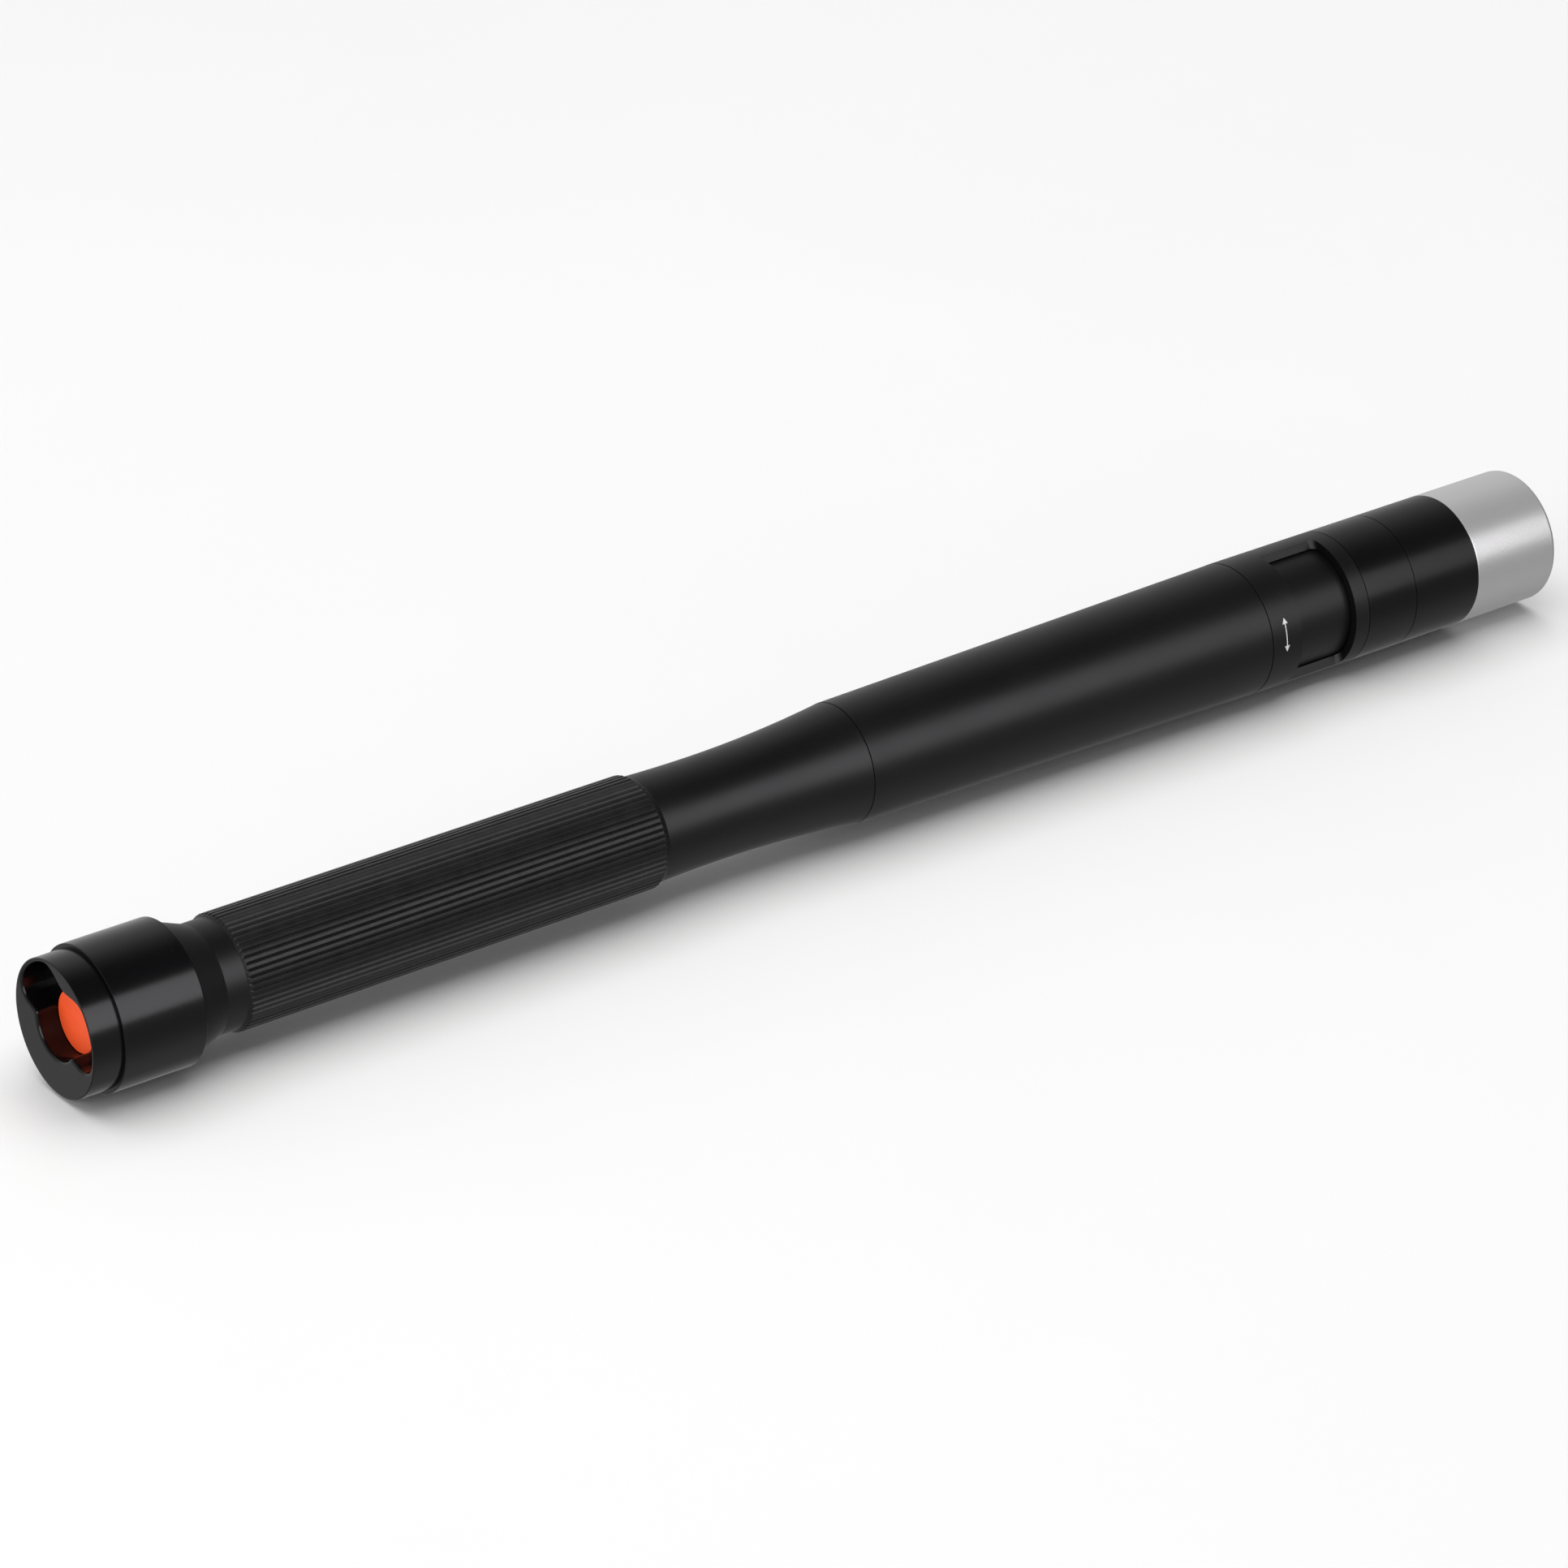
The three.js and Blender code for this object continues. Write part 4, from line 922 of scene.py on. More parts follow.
class TORCH_OT_grip(bpy.types.Operator):
    """Pulls the grooved outline of the grip along the handle and cones its ends"""

    bl_idname = "torch.grip"
    bl_label = "Ribbed Grip"

    def execute(self, context):
        size = in_mm(context.scene.torch_sizes)
        pitch = math.tau / size.groove_count
        places = [
            (0, -radius * math.sin(share * pitch), radius * math.cos(share * pitch))
            for share, radius in self.rib(size)
        ]
        bm = bmesh.new()
        wire(bm, places)
        swung(bm, bm.verts[:] + bm.edges[:], math.tau - pitch, size.groove_count - 1, use_duplicate=True)
        self.pull(joined(bm), size)
        finish = finish_set(context).grip
        finished(bm, "grip_ribs", "torch_body", [finish], "grip_rubber", "grip_sleeve")
        return {"FINISHED"}

    @staticmethod
    def rib(size):
        """One rib from groove to groove, as shares of the pitch with their radii."""
        foot_share, foot_rise = RIB_FOOT
        flank = [(0.0, size.groove_depth), (foot_share, size.groove_depth - foot_rise), *RIB_EDGE]
        drops = [*flank, (0.5, 0.0), *((1 - share, drop) for share, drop in reversed(flank))]
        return [(share, size.grip_radius - drop) for share, drop in drops]

    @staticmethod
    def cone(low, high):
        """Stations and radii between two points, the first left out."""
        shares = [i / CONE_STEPS for i in range(1, CONE_STEPS + 1)]
        return [tuple(a + (b - a) * share for a, b in zip(low, high)) for share in shares]

    def pull(self, bm, size):
        """Extrudes the outline in steps, never outside the cones at its ends."""
        start, end = span("grip_sleeve")
        top = size.grip_radius
        fade = top - GROOVE_FADE * size.groove_depth
        bore = size.cell_bore + GRIP_BED + CLEARANCE
        rear_edge, front_edge = start - GRIP_LAP, end - size.grip_shoulder
        loops = [
            (start, bore),
            (start - size.grip_step, size.neck_radius - GRIP_LAP),
            (rear_edge, fade),
            *self.cone((rear_edge, fade), (start + size.grip_chamfer, top)),
            *self.cone((front_edge - size.grip_chamfer, top), (front_edge, fade)),
            (end, size.waist_rear),
            (end, bore),
        ]
        full = bm.verts.layers.float.new("full radius")
        for vert in bm.verts:
            vert[full] = off_axis(vert.co)
        first = ring = bm.edges[:]
        for number, (station, limit) in enumerate(loops):
            if number:
                grown = bmesh.ops.extrude_edge_only(bm, edges=ring)["geom"]
                ring = only(bmesh.types.BMEdge, grown)
            for vert in {vert for edge in ring for vert in edge.verts}:
                vert.co = (station, *(vert.co.yz.normalized() * min(limit, vert[full])))
        bm.verts.layers.float.remove(full)
        bmesh.ops.bridge_loops(bm, edges=first + ring)
        outward(bm)


# Barrel, port and head

BARREL_THREAD = 0.6
BARREL_WEB, BARREL_WEB_BORE = 2.0, 9.0  # wall across the barrel: thickness, and radius of its hole
WINDOW_CLOCK = 67.3
WINDOW_STEPS = 6
WINDOW_EDGE = 0.13
NEAR = 0.05  # slack of the tests on a face's or an edge's place
ARROW_CLOCKS = (62.9, 92.4)
ARROW_STATION = 323.2
ARROW_HEAD_CLOCK = 5.2
ARROW_TIP, ARROW_LIFT, ARROW_THICKNESS = 0.02, 0.02, 0.015
ARROW_STEPS = 10
PORT_THREAD = 0.9
PORT_RELIEF = 0.1
PORT_NOSE, PORT_BORE = 13.2, 10.8  # radii of the spigot in the head and of the hole through it
PORT_EDGE = 0.08
SOCKET_CLOCK = WINDOW_CLOCK + 180
SOCKET_FLOOR, SOCKET_MOUTH, SOCKET_WIDTH = 7.3, 13.4, 2.9  # the first two from the axis
SOCKET_CORNER, SOCKET_WALL, SOCKET_BASE, SOCKET_RIM = 0.95, 0.35, 1.0, 0.1
HOLE_CORNER, HOLE_EDGE = 1.2, 0.18
TONGUE_SIDES, TONGUE_CORNER = (4.6, 0.7), 0.2
TONGUE_RISE, TONGUE_DROP = 1.6, 1.0
PAD_SIDES, PAD_EDGE = (0.36, 0.06, 1.9), 0.02
PAD_COLUMNS, PAD_PITCH, PAD_OUT, PAD_DROP = 6, 0.68, 0.36, 1.2
HEAD_REAR_BORE, HEAD_LAMP_BORE = 13.5, 12.0
LIP_ROUND, LIP_EDGE, BEZEL_MOUTH = 0.5, 0.1, 0.2
LENS_ROUND = 0.25
GASKET_EDGES = (0.1, 0.1, 0.2, 0.2)


class TORCH_OT_barrel(bpy.types.Operator):
    """Turns the tapering barrel"""

    bl_idname = "torch.barrel"
    bl_label = "Barrel"

    def execute(self, context):
        size = in_mm(context.scene.torch_sizes)
        start, end = casing_span("barrel_tube", size)
        shoulder = span("contact_board")[1] + CLEARANCE
        rear_bore = reach("contact_board", INNER_FACETS) + CLEARANCE
        front_bore = size.sleeve_radius - BARREL_THREAD
        bm = turned(
            [
                (start, size.barrel_rear, size.seam_edge),
                (end, reach("barrel_tube"), size.seam_edge),
                (end, front_bore),
                (shoulder + BARREL_WEB, front_bore),
                (shoulder + BARREL_WEB, BARREL_WEB_BORE),
                (shoulder, BARREL_WEB_BORE),
                (shoulder, rear_bore),
                (start, rear_bore),
            ]
        )
        finish = finish_set(context).satin
        finished(bm, "barrel_shell", "torch_body", [finish], "black_anodised", "barrel_tube")
        return {"FINISHED"}


class TORCH_OT_port_ring(bpy.types.Operator):
    """Turns the port ring, mills its window and prints the double arrow on it"""

    bl_idname = "torch.port_ring"
    bl_label = "Port Ring"

    def execute(self, context):
        size = in_mm(context.scene.torch_sizes)
        finishes = finish_set(context)
        radius = reach("port_ring")
        edges = (size.seam_edge, size.seam_edge, 0, 0)
        ring = sleeve(casing_span("port_ring", size), radius, size.ring_bore, edges)
        middle = span("port_ring")[0] + size.window_margin + size.window_length / 2
        cutter = block((size.window_length, 4 * radius, 2 * radius))
        below = [edge for edge in cutter.edges if all(vert.co.z < 0 for vert in edge.verts)]
        front = [edge for edge in below if all(vert.co.x > 0 for vert in edge.verts)]
        bevel(cutter, front, size.window_corner, WINDOW_STEPS)
        shift(cutter, middle, size.window_plane + radius)
        turn(cutter, WINDOW_CLOCK)
        bm = carved(ring, cutter)
        margin = size.window_length / 2 + NEAR
        soften(
            bm, WINDOW_EDGE, lambda spot: abs(spot.x - middle) < margin and off_axis(spot) > radius - NEAR
        )
        looks = [finishes.satin]
        finished(outward(bm), "port_ring_shell", "port_ring", looks, "black_anodised", "port_ring")
        finished(self.arrow(size, radius), "arrow_mark", "port_ring", [finishes.mark], None)
        return {"FINISHED"}

    @staticmethod
    def arrow(size, radius):
        """A thin double arrow that lies on the ring: a tapered head, the line and the other head."""
        tip, tail = ARROW_CLOCKS
        first, last = tip + ARROW_HEAD_CLOCK, tail - ARROW_HEAD_CLOCK
        bm = bmesh.new()
        for start, end, wide, narrow in (
            (tip, first, ARROW_TIP, size.arrow_head),
            (first, last, size.arrow_line, size.arrow_line),
            (last, tail, size.arrow_head, ARROW_TIP),
        ):
            strip = bmesh.new()
            wire(strip, [(side, 0, radius + ARROW_LIFT) for side in (-0.5, 0.5)])
            turn(strip, start)
            swung(strip, strip.verts[:] + strip.edges[:], math.radians(end - start), ARROW_STEPS)
            for vert in strip.verts:
                share = (math.degrees(math.atan2(-vert.co.y, vert.co.z)) - start) / (end - start)
                vert.co.x = ARROW_STATION + vert.co.x * (wide + (narrow - wide) * share)
            merged(bm, strip)
        bmesh.ops.solidify(outward(bm), geom=bm.faces[:], thickness=ARROW_THICKNESS)
        return outward(bm)


class TORCH_OT_port(bpy.types.Operator):
    """Turns the port body behind the ring and sets the charging socket into it"""

    bl_idname = "torch.port"
    bl_label = "Port and Socket"

    def execute(self, context):
        size = in_mm(context.scene.torch_sizes)
        finishes = finish_set(context)
        rear, front = span("port_body")
        ring_start, ring_end = casing_span("port_ring", size)
        flange_start = ring_end + size.seam_gap
        flange_end = casing_span("head_tube", size)[0] - size.seam_gap
        radius = reach("port_body")
        thread = size.sleeve_radius - PORT_THREAD
        body = turned(
            [
                (rear, thread, END_ROUND),
                (ring_start + PORT_RELIEF, thread),
                (ring_start + PORT_RELIEF, size.sleeve_radius),
                *seal_groove("ring_oring_rear", size.sleeve_radius, PORT_EDGE),
                *seal_groove("ring_oring_front", size.sleeve_radius, PORT_EDGE),
                (flange_start, size.sleeve_radius),
                (flange_start, radius, size.seam_edge),
                (flange_end, radius, size.seam_edge),
                (flange_end, PORT_NOSE),
                *seal_groove("head_oring", PORT_NOSE, PORT_EDGE),
                (front, PORT_NOSE, END_ROUND),
                (front, PORT_BORE),
                (rear, PORT_BORE),
            ]
        )
        low, high = span("usb_socket")
        station, long_side = (low + high) / 2, high - low
        sides = (long_side + 2 * CLEARANCE, SOCKET_WIDTH + 2 * CLEARANCE)
        hole = rounded_block(sides, HOLE_CORNER, radius)
        shift(hole, station, SOCKET_FLOOR)
        turn(hole, SOCKET_CLOCK)
        bm = carved(body, hole)
        brim = SOCKET_MOUTH + 2 * NEAR
        soften(bm, HOLE_EDGE, lambda spot: abs(spot.x - station) < long_side and off_axis(spot) > brim)
        paint(outward(bm), 1, lambda spot: spot.x < flange_start - NEAR)
        looks = [finishes.front, finishes.satin]
        finished(bm, "port_shell", "torch_body", looks, "black_anodised", "port_body")
        base = SOCKET_FLOOR + CLEARANCE
        shell = self.socket((long_side, SOCKET_WIDTH), SOCKET_MOUTH - base)
        shift(shell, station, base)
        turn(shell, SOCKET_CLOCK)
        finished(shell, "socket_shell", "torch_body", [finishes.steel], "steel", "usb_socket")
        tongue = self.tongue(station, SOCKET_FLOOR + TONGUE_RISE, SOCKET_MOUTH - TONGUE_DROP)
        looks = [finishes.plastic, finishes.brass]
        finished(tongue, "socket_tongue", "torch_body", looks, "black_plastic", "usb_tongue")
        return {"FINISHED"}

    @staticmethod
    def socket(sides, height):
        """An open-topped shell with a floor and a rolled rim."""
        bm = rounded_block(sides, SOCKET_CORNER, height)
        top = max(bm.faces, key=lambda face: face.calc_center_median().z)
        bmesh.ops.inset_region(bm, faces=[top], thickness=SOCKET_WALL, use_even_offset=True)
        bmesh.ops.translate(bm, verts=top.verts[:], vec=(0, 0, SOCKET_BASE - height))
        soften(bm, SOCKET_RIM, lambda spot: spot.z > height - NEAR)
        return outward(bm)

    @staticmethod
    def tongue(station, root, tip):
        """The contact tongue with a row of gilt pads on each side."""
        bm = rounded_block(TONGUE_SIDES, TONGUE_CORNER, tip - root)
        shift(bm, 0, root)
        for column in range(PAD_COLUMNS):
            for side in (-1, 1):
                pad = block(PAD_SIDES)
                bevel(pad, pad.edges[:], PAD_EDGE, 1)
                paint(pad, 1)
                shift(pad, PAD_PITCH * (column - (PAD_COLUMNS - 1) / 2), tip - PAD_DROP, side * PAD_OUT)
                merged(bm, pad)
        shift(bm, station)
        turn(bm, SOCKET_CLOCK)
        return bm


class TORCH_OT_head(bpy.types.Operator):
    """Turns the head tube"""

    bl_idname = "torch.head"
    bl_label = "Head"

    def execute(self, context):
        size = in_mm(context.scene.torch_sizes)
        start, end = casing_span("head_tube", size)[0], span("head_tube")[1]
        joint = casing_span("bezel", size)[0] - size.seam_gap
        radius = reach("head_tube")
        lamp_shoulder = span("heat_sink")[1] + CLEARANCE
        thread = reach("lens")
        bm = turned(
            [
                (start, radius, size.seam_edge),
                (joint, radius, size.seam_edge),
                (joint, thread),
                *seal_groove("bezel_oring", thread),
                (end, thread, END_ROUND),
                (end, HEAD_LAMP_BORE),
                (lamp_shoulder, HEAD_LAMP_BORE),
                (lamp_shoulder, HEAD_REAR_BORE),
                (start, HEAD_REAR_BORE),
            ]
        )
        finish = finish_set(context).front
        finished(bm, "head_shell", "torch_body", [finish], "black_anodised", "head_tube")
        return {"FINISHED"}


class TORCH_OT_bezel(bpy.types.Operator):
    """Turns the silver bezel, the lens and the gasket behind its lip"""

    bl_idname = "torch.bezel"
    bl_label = "Bezel and Lens"

    def execute(self, context):
        size = in_mm(context.scene.torch_sizes)
        finishes = finish_set(context)
        start, end = casing_span("bezel", size)[0], span("bezel")[1]
        radius, lens_radius = reach("bezel"), reach("lens")
        bore = lens_radius + CLEARANCE
        lip = span("lens_gasket")[1] + CLEARANCE
        bezel = turned(
            [
                (start, radius, size.bezel_edge),
                (end, radius, size.bezel_round),
                (end, size.lip_radius, LIP_ROUND),
                (lip, size.lip_radius, LIP_EDGE),
                (lip, bore),
                (start, bore, BEZEL_MOUTH),
            ]
        )
        finished(bezel, "bezel_shell", "torch_body", [finishes.silver], "silver_bezel", "bezel")
        lens = disc(span("lens"), lens_radius, LENS_ROUND)
        finished(lens, "lens_glass", "torch_body", [finishes.glass], "clear_glass", "lens")
        gasket = sleeve(span("lens_gasket"), lens_radius, size.lip_radius, GASKET_EDGES)
        finished(gasket, "lens_seal", "torch_body", [finishes.seal], "seal_rubber", "lens_gasket")
        return {"FINISHED"}


# Lamp, seals, springs, cells and switch

BOWL_MOUTH, BOWL_WALL, BOWL_FLANGE, BOWL_ROUND = 13.4, 0.9, 1.7, 0.2
BOWL_STEPS, BOWL_SPREAD = 28, 1.6  # a spread above 1 sets the steps closer near the lamp
FOCUS_DEPTH = 1.0  # focus of the bowl below the top of the dome
EMITTER_BASE, EMITTER_SIDE, EMITTER_EDGE = 0.8, 5.0, 0.12
DOME_COLUMNS, DOME_ROWS, DOME_SUNK = 48, 24, 0.05
SPACER_WALL = 2.1
SPACER_EDGES = (0.2, 0.2, 0.3, 0.1)
SEALS = ("tail_oring", "handle_oring", "ring_oring_rear", "ring_oring_front", "head_oring", "bezel_oring")
SEAL_STEPS = 16
SPRINGS = (("tail_spring", "tail_cap", 5), ("contact_spring", "torch_body", 3))
SPRING_WIRE, SPRING_SIDES, SPRING_STEPS = 0.45, 12, 48
CELL_NUB, CELL_NUB_RADIUS, CELL_NUB_FOOT, CELL_NUB_ROUND = 1.2, 3.0, 3.4, 0.3
CELL_ROUND, CELL_EDGE, CELL_BEAD_EDGE = 0.5, 0.05, 0.1
CELL_BASE_DEPTH, CELL_BASE_RIM, CELL_BASE_INSET = 0.25, 0.9, 1.0
CELL_TOP_DEPTH, CELL_TOP_INSET = 0.2, 1.1
CELL_BEAD = ((3.9, 0), (3.5, 0.4), (2.7, 0.4), (2.3, 0))  # behind the rim, and in from the side
RETAINER_BORE, RETAINER_EDGES = 8.0, (0.15, 0.25, 0.25, 0.15)
KEY_SIDE, KEY_CORNER, KEY_WIDTH, KEY_RISE = 2.0, 0.3, 2.2, 0.2  # slot for the tool that turns the ring
SWITCH_DISC_EDGE = 0.1
SWITCH_SIDE = 8.4  # side of the square switch in its holder
HOLDER_EDGES = (0.2, 0.2, 0.2, 0.2)


class TORCH_OT_lamp(bpy.types.Operator):
    """Turns the reflector's bowl and shapes the lamp in its bottom"""

    bl_idname = "torch.lamp"
    bl_label = "Reflector and Lamp"

    def execute(self, context):
        finishes = finish_set(context)
        rear, front = span("reflector")
        mount, top = span("led_emitter")
        focus = top - FOCUS_DEPTH
        run = front - focus
        focal = (math.hypot(run, BOWL_MOUTH) - run) / 2
        shares = [(i / BOWL_STEPS) ** BOWL_SPREAD for i in range(BOWL_STEPS + 1)]
        stations = [rear + (front - rear) * share for share in shares]
        bowl = [(station, math.sqrt(4 * focal * (station - focus + focal))) for station in stations]
        flange, ledge = reach("reflector"), front - BOWL_FLANGE
        back = [(station, radius + BOWL_WALL) for station, radius in bowl if station < ledge]
        bm = turned([*back, (ledge, flange), (front, flange, BOWL_ROUND), *reversed(bowl)])
        finished(bm, "reflector_bowl", "torch_body", [finishes.mirror], "mirror_coat", "reflector")
        looks = [finishes.pale, finishes.phosphor]
        emitter = self.emitter(mount, top)
        finished(emitter, "lamp_emitter", "torch_body", looks, "phosphor", "led_emitter")
        outer = reach("led_spacer", INNER_FACETS)
        spacer = sleeve(span("led_spacer"), outer, outer - SPACER_WALL, SPACER_EDGES, INNER_STEPS)
        finished(spacer, "lamp_spacer", "torch_body", [finishes.pale], "white_plastic", "led_spacer")
        return {"FINISHED"}

    @staticmethod
    def emitter(mount, top):
        """A square ceramic base with a round phosphor dome."""
        bm = block((EMITTER_BASE, EMITTER_SIDE, EMITTER_SIDE))
        bevel(bm, bm.edges[:], EMITTER_EDGE, SOFT_STEPS)
        turn(bm, SOCKET_CLOCK)
        shift(bm, mount + EMITTER_BASE / 2)
        dome = bmesh.new()
        radius = top - mount - EMITTER_BASE
        bmesh.ops.create_uvsphere(dome, u_segments=DOME_COLUMNS, v_segments=DOME_ROWS, radius=radius)
        turn(dome, 90, "Y")
        bmesh.ops.bisect_plane(
            dome,
            geom=dome.verts[:] + dome.edges[:] + dome.faces[:],
            plane_co=(-DOME_SUNK, 0, 0),
            plane_no=AXIS,
            clear_inner=True,
        )
        bmesh.ops.holes_fill(dome, edges=dome.edges[:])
        paint(dome, 1)
        shift(dome, mount + EMITTER_BASE)
        return merged(bm, dome)


class TORCH_OT_seals(bpy.types.Operator):
    """Rolls the six round seals in their grooves"""

    bl_idname = "torch.seals"
    bl_label = "Seals"

    def execute(self, context):
        finish = finish_set(context).seal
        for node in SEALS:
            start, end = span(node)
            section = (end - start) / 2
            bm = bmesh.new()
            bmesh.ops.create_circle(bm, segments=SEAL_STEPS, radius=section)
            turn(bm, 90)
            shift(bm, (start + end) / 2, reach(node) - section)
            swung(bm, bm.verts[:] + bm.edges[:], math.tau, INNER_STEPS, use_merge=True)
            name = node.replace("oring", "seal")
            finished(outward(bm), name, "torch_body", [finish], "seal_rubber", node)
        return {"FINISHED"}


class TORCH_OT_springs(bpy.types.Operator):
    """Winds the tail spring and the contact spring"""

    bl_idname = "torch.springs"
    bl_label = "Springs"

    def execute(self, context):
        finish = finish_set(context).brass
        angles = [math.tau * i / SPRING_SIDES for i in range(SPRING_SIDES)]
        for node, body, turns in SPRINGS:
            start, end = span(node)
            low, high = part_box(node)
            radius = (high.z - low.z) / 2 / MM - SPRING_WIRE
            section = [(SPRING_WIRE * math.cos(a), radius + SPRING_WIRE * math.sin(a)) for a in angles]
            pitch = (end - start - 2 * SPRING_WIRE) / turns
            bm = helix(section, start + SPRING_WIRE, pitch, turns, SPRING_STEPS)
            finished(bm, node + "_coil", body, [finish], "brass", node)
        return {"FINISHED"}


class TORCH_OT_cells(bpy.types.Operator):
    """Turns the three cells with their sleeves, crimps and caps"""

    bl_idname = "torch.cells"
    bl_label = "Cells"

    def execute(self, context):
        finishes = finish_set(context)
        looks = [finishes.wrap, finishes.steel, finishes.pale]
        for node in ("cell_1", "cell_2", "cell_3"):
            start, end = span(node)
            radius = reach(node, INNER_FACETS)
            rim = end - CELL_NUB
            base, top = start + CELL_BASE_DEPTH, rim - CELL_TOP_DEPTH
            hole = radius - CELL_TOP_INSET
            bm = turned(
                [
                    (base, 0),
                    (base, radius - CELL_BASE_INSET),
                    (start, radius - CELL_BASE_RIM, CELL_EDGE),
                    (start, radius, CELL_ROUND),
                    *((rim - back, radius - inset, CELL_BEAD_EDGE) for back, inset in CELL_BEAD),
                    (rim, radius, CELL_ROUND),
                    (rim, hole, CELL_EDGE),
                    (top, hole),
                    (top, CELL_NUB_FOOT),
                    (rim, CELL_NUB_RADIUS),
                    (end, CELL_NUB_RADIUS, CELL_NUB_ROUND),
                    (end, 0),
                ],
                INNER_STEPS,
            )
            disc_edge, nub_edge = radius - CELL_BASE_INSET + NEAR, CELL_NUB_FOOT + 2 * NEAR
            paint(bm, 1, lambda spot: off_axis(spot) < disc_edge and spot.x < start + CELL_BASE_INSET)
            paint(bm, 1, lambda spot: off_axis(spot) < nub_edge and spot.x > top - NEAR)
            paint(bm, 2, lambda spot: nub_edge < off_axis(spot) < hole and spot.x > top - NEAR)
            finished(bm, node + "_sleeved", "torch_body", looks, "cell_wrap", node)
        return {"FINISHED"}


class TORCH_OT_switch_parts(bpy.types.Operator):
    """Turns the ring, the board and the holder that fasten the switch in the cap"""

    bl_idname = "torch.switch_parts"
    bl_label = "Switch Parts"

    def execute(self, context):
        finishes = finish_set(context)
        ends = span("switch_retainer")
        radius = reach("switch_retainer", INNER_FACETS)
        ring = sleeve(ends, radius, RETAINER_BORE, RETAINER_EDGES, INNER_STEPS)
        key = rounded_block((KEY_SIDE, 4 * radius), KEY_CORNER, KEY_WIDTH)
        turn(key, 90)
        shift(key, ends[1] + KEY_RISE, 0, KEY_WIDTH / 2)
        bm = outward(carved(ring, key))
        finished(bm, "switch_ring", "tail_cap", [finishes.brass], "brass", "switch_retainer")
        board = disc(span("switch_board"), radius, SWITCH_DISC_EDGE, INNER_STEPS)
        finished(board, "switch_disc", "tail_cap", [finishes.board], "circuit_board", "switch_board")
        bore = SWITCH_SIDE / math.sqrt(2) + CLEARANCE
        holder = sleeve(span("switch_holder"), radius, bore, HOLDER_EDGES, INNER_STEPS)
        finished(holder, "switch_sleeve", "tail_cap", [finishes.plastic], "black_plastic", "switch_holder")
        return {"FINISHED"}


class TORCH_OT_inner_finishes(bpy.types.Operator):
    """Gives their finishes to the inner pieces that keep their CAD shapes"""

    bl_idname = "torch.inner_finishes"
    bl_label = "Inner Finishes"

    def execute(self, context):
        finishes = finish_set(context)
        mouldings = ("click_switch", "contact_spacer", "board_cradle", "charge_coil", "driver_chip")
        for finish, nodes in (
            (finishes.pale, ("switch_stem",)),
            (finishes.plastic, mouldings),
            (finishes.board, ("contact_board", "driver_board")),
            (finishes.lamp_board, ("led_board",)),
            (finishes.aluminium, ("heat_sink",)),
            (finishes.steel, ("led_screw_1", "led_screw_2")),
            (finishes.red_wire, ("positive_lead", "led_lead_positive")),
            (finishes.black_wire, ("led_lead_negative",)),
        ):
            for node in nodes:
                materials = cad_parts[node].data.materials
                materials.clear()
                materials.append(finish)
        return {"FINISHED"}


# Studio. Places and sizes are in metres

VIEW_FROM = (-0.77595, -1.00885, 0.65511)
VIEW_ALONG = (0.5372, 0.7124, -0.4516)
SENSOR_WIDTH = 36  # in millimetres, as the lens
VIEW_RANGE = (0.05, 100)
BANK_CLOCK = math.radians(62)
BANK_DISTANCE = 1.25
BANK_SIZE = (3.2, 0.91)
BANK_COLOUR = (0.99, 0.97, 1.0)
BANK_STATION = -0.45
CEILING_PLACE = (0, 0.3, 3.0)
CEILING_SIZE = (4.1, 4.1)
FILL_PLACE = (-1.9, -0.5, 0.8)
FILL_SIZE = (1.2, 1.2)
FLOOR_SIZE = 30.0
FLOOR_SQUARES = (8, 8)
FLOOR_ROUGHNESS = 0.8

# Brightness of the sky by height, from -1 below to 1 above, on an axis that leans to the front
SKY_LEAN = math.radians(20)
SKY = (
    (-1.0, 0.38),
    (-0.84, 0.38),
    (-0.75, 0.55),
    (-0.57, 0.72),
    (-0.3, 0.86),
    (0.18, 0.83),
    (0.453, 0.8),
    (0.669, 0.42),
    (0.803, 0.11),
    (0.843, 0.05),
    (1.0, 0.05),
)
SKY_BLUE = 1.02
# Axis, start and end of each fade of the sky, and what it leaves: at the lamp's end and on the near side
SKY_FADES = (("X", 0.45, 0.95, 0.1), ("Y", -0.45, -0.8, 0.55))


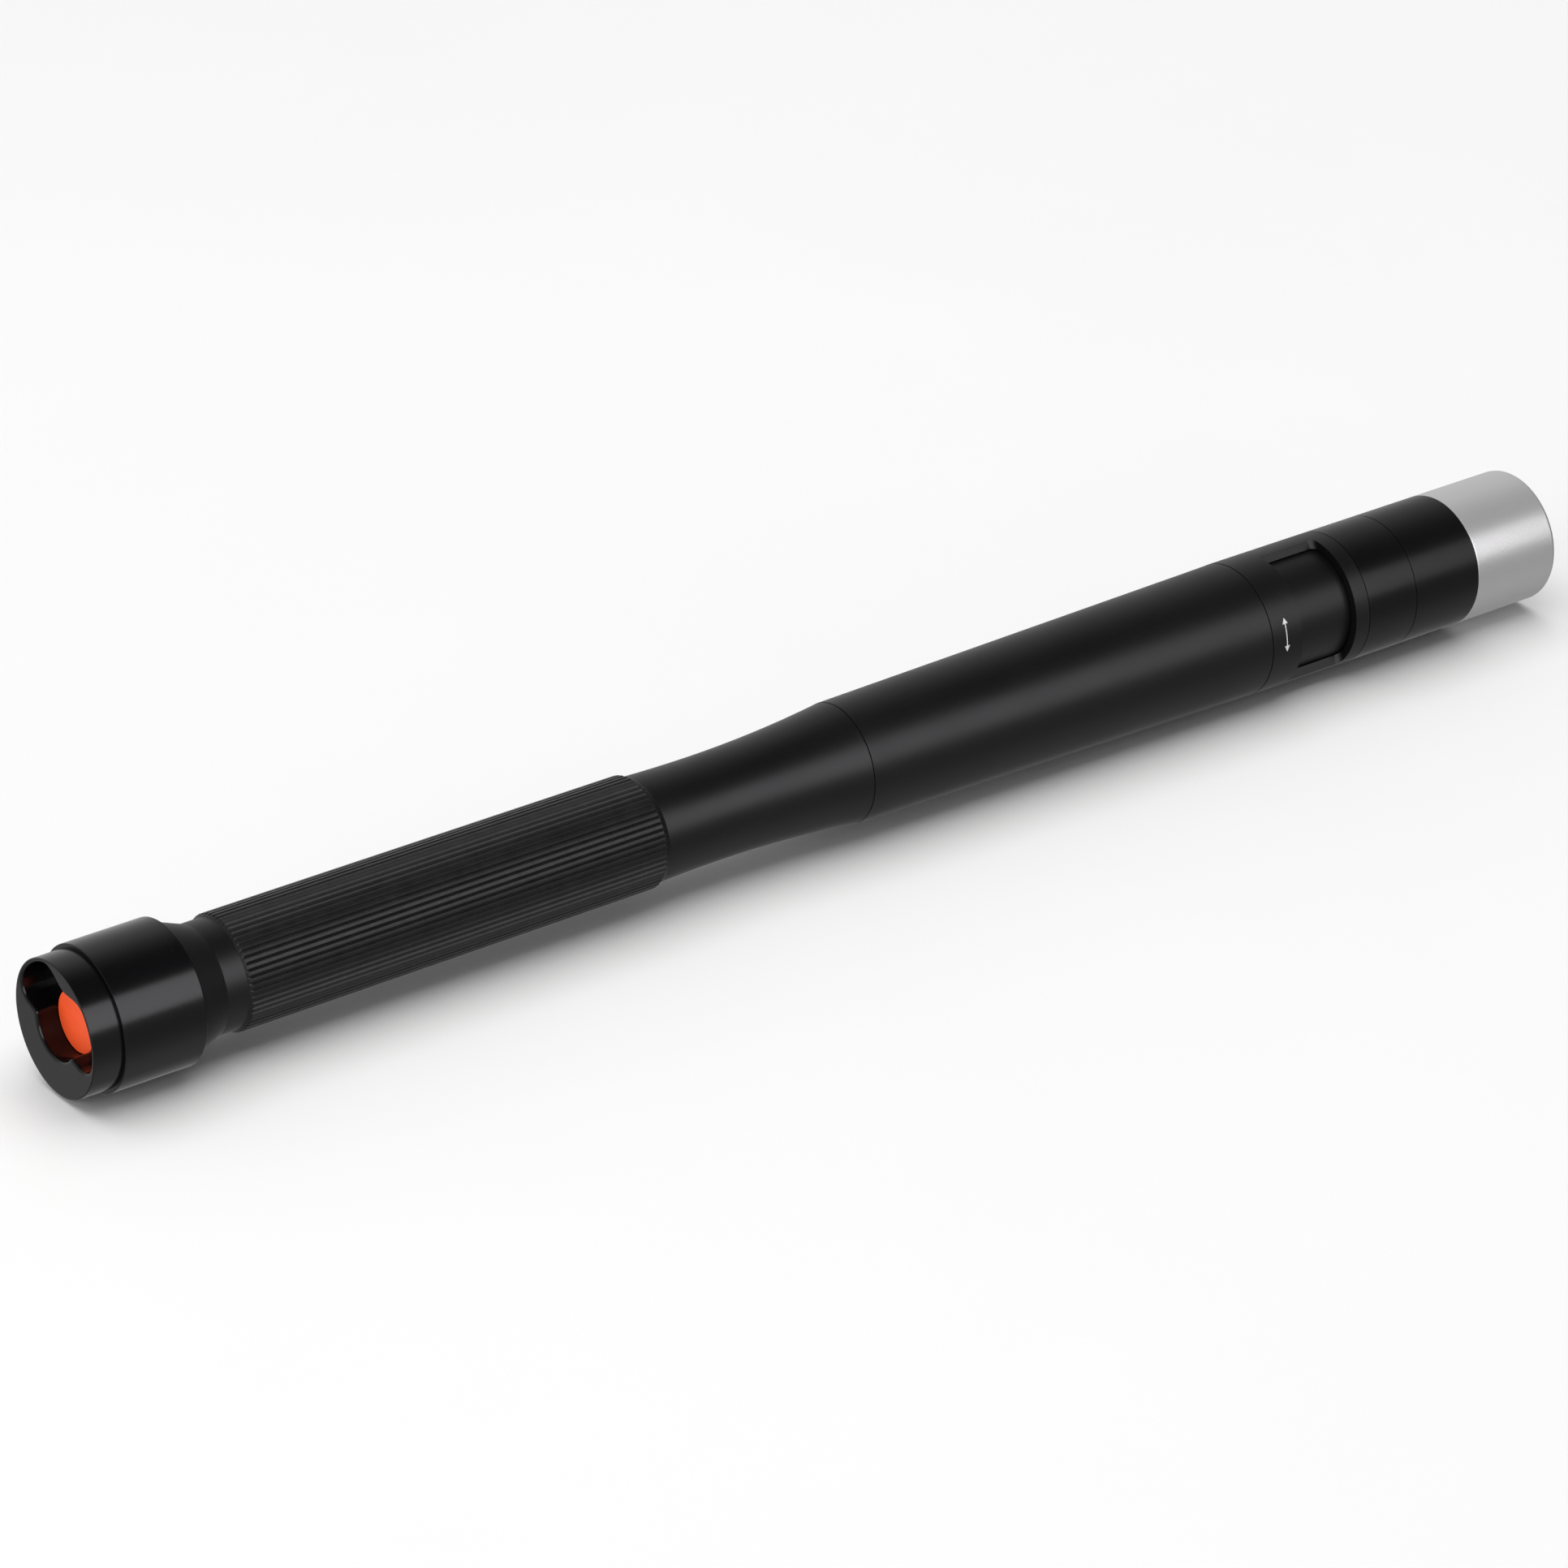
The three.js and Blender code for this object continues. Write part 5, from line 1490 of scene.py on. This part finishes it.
class TORCH_OT_stage(bpy.types.Operator):
    """Lays the pale floor and sets the soft light and the camera"""

    bl_idname = "torch.stage"
    bl_label = "Studio"

    def execute(self, context):
        scene = context.scene
        stage = scene.torch_stage
        scene.view_settings.view_transform = "Standard"
        self.floor(stage)
        self.sky(scene)
        middle = Vector((BANK_STATION, 0, AXIS_Z))
        above = middle + BANK_DISTANCE * Vector((0, -math.sin(BANK_CLOCK), math.cos(BANK_CLOCK)))
        bank = self.light(scene, "light bank", stage.bank_power, BANK_SIZE, above, middle)
        bank.data.color = BANK_COLOUR
        bank.visible_diffuse = False
        below = (*CEILING_PLACE[:2], 0)
        tail = (TAIL_X, 0, 0)
        for name, watts, size, place, aim in (
            ("ceiling light", stage.ceiling_power, CEILING_SIZE, CEILING_PLACE, below),
            ("fill light", stage.fill_power, FILL_SIZE, FILL_PLACE, tail),
        ):
            self.light(scene, name, watts, size, place, aim).visible_glossy = False
        self.camera(scene, stage)
        return {"FINISHED"}

    @staticmethod
    def camera(scene, stage):
        lens = bpy.data.cameras.new("camera")
        lens.lens = stage.focal_length
        lens.sensor_width = SENSOR_WIDTH
        lens.clip_start, lens.clip_end = VIEW_RANGE
        camera = bpy.data.objects.new("camera", lens)
        camera.location = VIEW_FROM
        camera.rotation_mode = "QUATERNION"
        camera.rotation_quaternion = Vector(VIEW_ALONG).to_track_quat("-Z", "Y")
        scene.collection.objects.link(camera)
        scene.camera = camera

    @staticmethod
    def light(scene, name, watts, size, place, aim):
        """A soft light that faces a point and isn't seen by the camera."""
        lamp = bpy.data.lights.new(name, "AREA")
        lamp.energy = watts
        lamp.shape = "RECTANGLE"
        lamp.size, lamp.size_y = size
        made = bpy.data.objects.new(name, lamp)
        made.location = place
        made.rotation_euler = (Vector(aim) - Vector(place)).to_track_quat("-Z", "Y").to_euler()
        made.visible_camera = False
        scene.collection.objects.link(made)
        return made

    @staticmethod
    def floor(stage):
        """A wide floor that the glossy pieces don't mirror: the sky below the horizon stands for it."""
        bm = bmesh.new()
        across, along = FLOOR_SQUARES
        bmesh.ops.create_grid(bm, x_segments=across, y_segments=along, size=FLOOR_SIZE / 2)
        floor = loose(bm, "floor")
        finish = made_finish("pale floor", stage.floor, shine(FLOOR_ROUGHNESS), LAID)
        floor.data.materials.append(finish)
        floor.visible_glossy = False

    @staticmethod
    def sky(scene):
        """Light from all round: pale at the horizon, dark overhead, dimmer ahead and on the near side."""
        world = bpy.data.worlds.new("studio")
        world.use_nodes = True
        tree = world.node_tree
        background = tree.nodes["Background"]
        towards = add_node(tree, "TexCoord").outputs["Generated"]
        lean = (0, -math.sin(SKY_LEAN), math.cos(SKY_LEAN))
        height = add_node(tree, "VectorMath", {0: towards, 1: lean}, operation="DOT_PRODUCT")
        ramp = add_node(tree, "ValToRGB", {"Fac": ranged(tree, height.outputs["Value"], -1, 1)})
        stops = ramp.color_ramp.elements
        for place, _ in SKY[1:-1]:
            stops.new((place + 1) / 2)
        for stop, (place, level) in zip(stops, SKY):
            stop.position = (place + 1) / 2
            stop.color = (level, level, level * SKY_BLUE, 1)
        split = add_node(tree, "SeparateXYZ", {"Vector": towards}).outputs
        fades = [ranged(tree, split[axis], start, end, 1, left) for axis, start, end, left in SKY_FADES]
        both = add_node(tree, "Math", dict(enumerate(fades)), operation="MULTIPLY")
        tree.links.new(ramp.outputs["Color"], background.inputs["Color"])
        tree.links.new(both.outputs["Value"], background.inputs["Strength"])
        scene.world = world


PIECES = (
    TORCH_OT_tail_cap,
    TORCH_OT_switch_button,
    TORCH_OT_handle,
    TORCH_OT_grip,
    TORCH_OT_barrel,
    TORCH_OT_port_ring,
    TORCH_OT_port,
    TORCH_OT_head,
    TORCH_OT_bezel,
    TORCH_OT_lamp,
    TORCH_OT_seals,
    TORCH_OT_springs,
    TORCH_OT_cells,
    TORCH_OT_switch_parts,
    TORCH_OT_inner_finishes,
    TORCH_OT_stage,
)
GROUPS = {"torch_sizes": TorchSizes, "torch_colours": TorchColours, "torch_stage": TorchStage}


class TORCH_PT_pieces(bpy.types.Panel):
    """Lists the pieces and the values that shape and colour them"""

    bl_idname = "TORCH_PT_pieces"
    bl_label = "Flashlight"
    bl_space_type = "VIEW_3D"
    bl_region_type = "UI"
    bl_category = "Flashlight"

    def draw(self, context):
        for piece in PIECES:
            self.layout.operator(piece.bl_idname)
        for key, group in GROUPS.items():
            box = self.layout.box()
            for value in group.__annotations__:
                box.prop(getattr(context.scene, key), value)


CLASSES = (*GROUPS.values(), *PIECES, TORCH_PT_pieces)


def register():
    for made in CLASSES:
        bpy.utils.register_class(made)
    for key, group in GROUPS.items():
        setattr(bpy.types.Scene, key, PointerProperty(type=group))


def unregister():
    for key in GROUPS:
        delattr(bpy.types.Scene, key)
    for made in reversed(CLASSES):
        bpy.utils.unregister_class(made)


def main():
    register()
    bpy.ops.torch.tail_cap()
    bpy.ops.torch.switch_button()
    bpy.ops.torch.handle()
    bpy.ops.torch.grip()
    bpy.ops.torch.barrel()
    bpy.ops.torch.port_ring()
    bpy.ops.torch.port()
    bpy.ops.torch.head()
    bpy.ops.torch.bezel()
    bpy.ops.torch.lamp()
    bpy.ops.torch.seals()
    bpy.ops.torch.springs()
    bpy.ops.torch.cells()
    bpy.ops.torch.switch_parts()
    bpy.ops.torch.inner_finishes()
    bpy.ops.torch.stage()


if __name__ == "__main__":
    main()
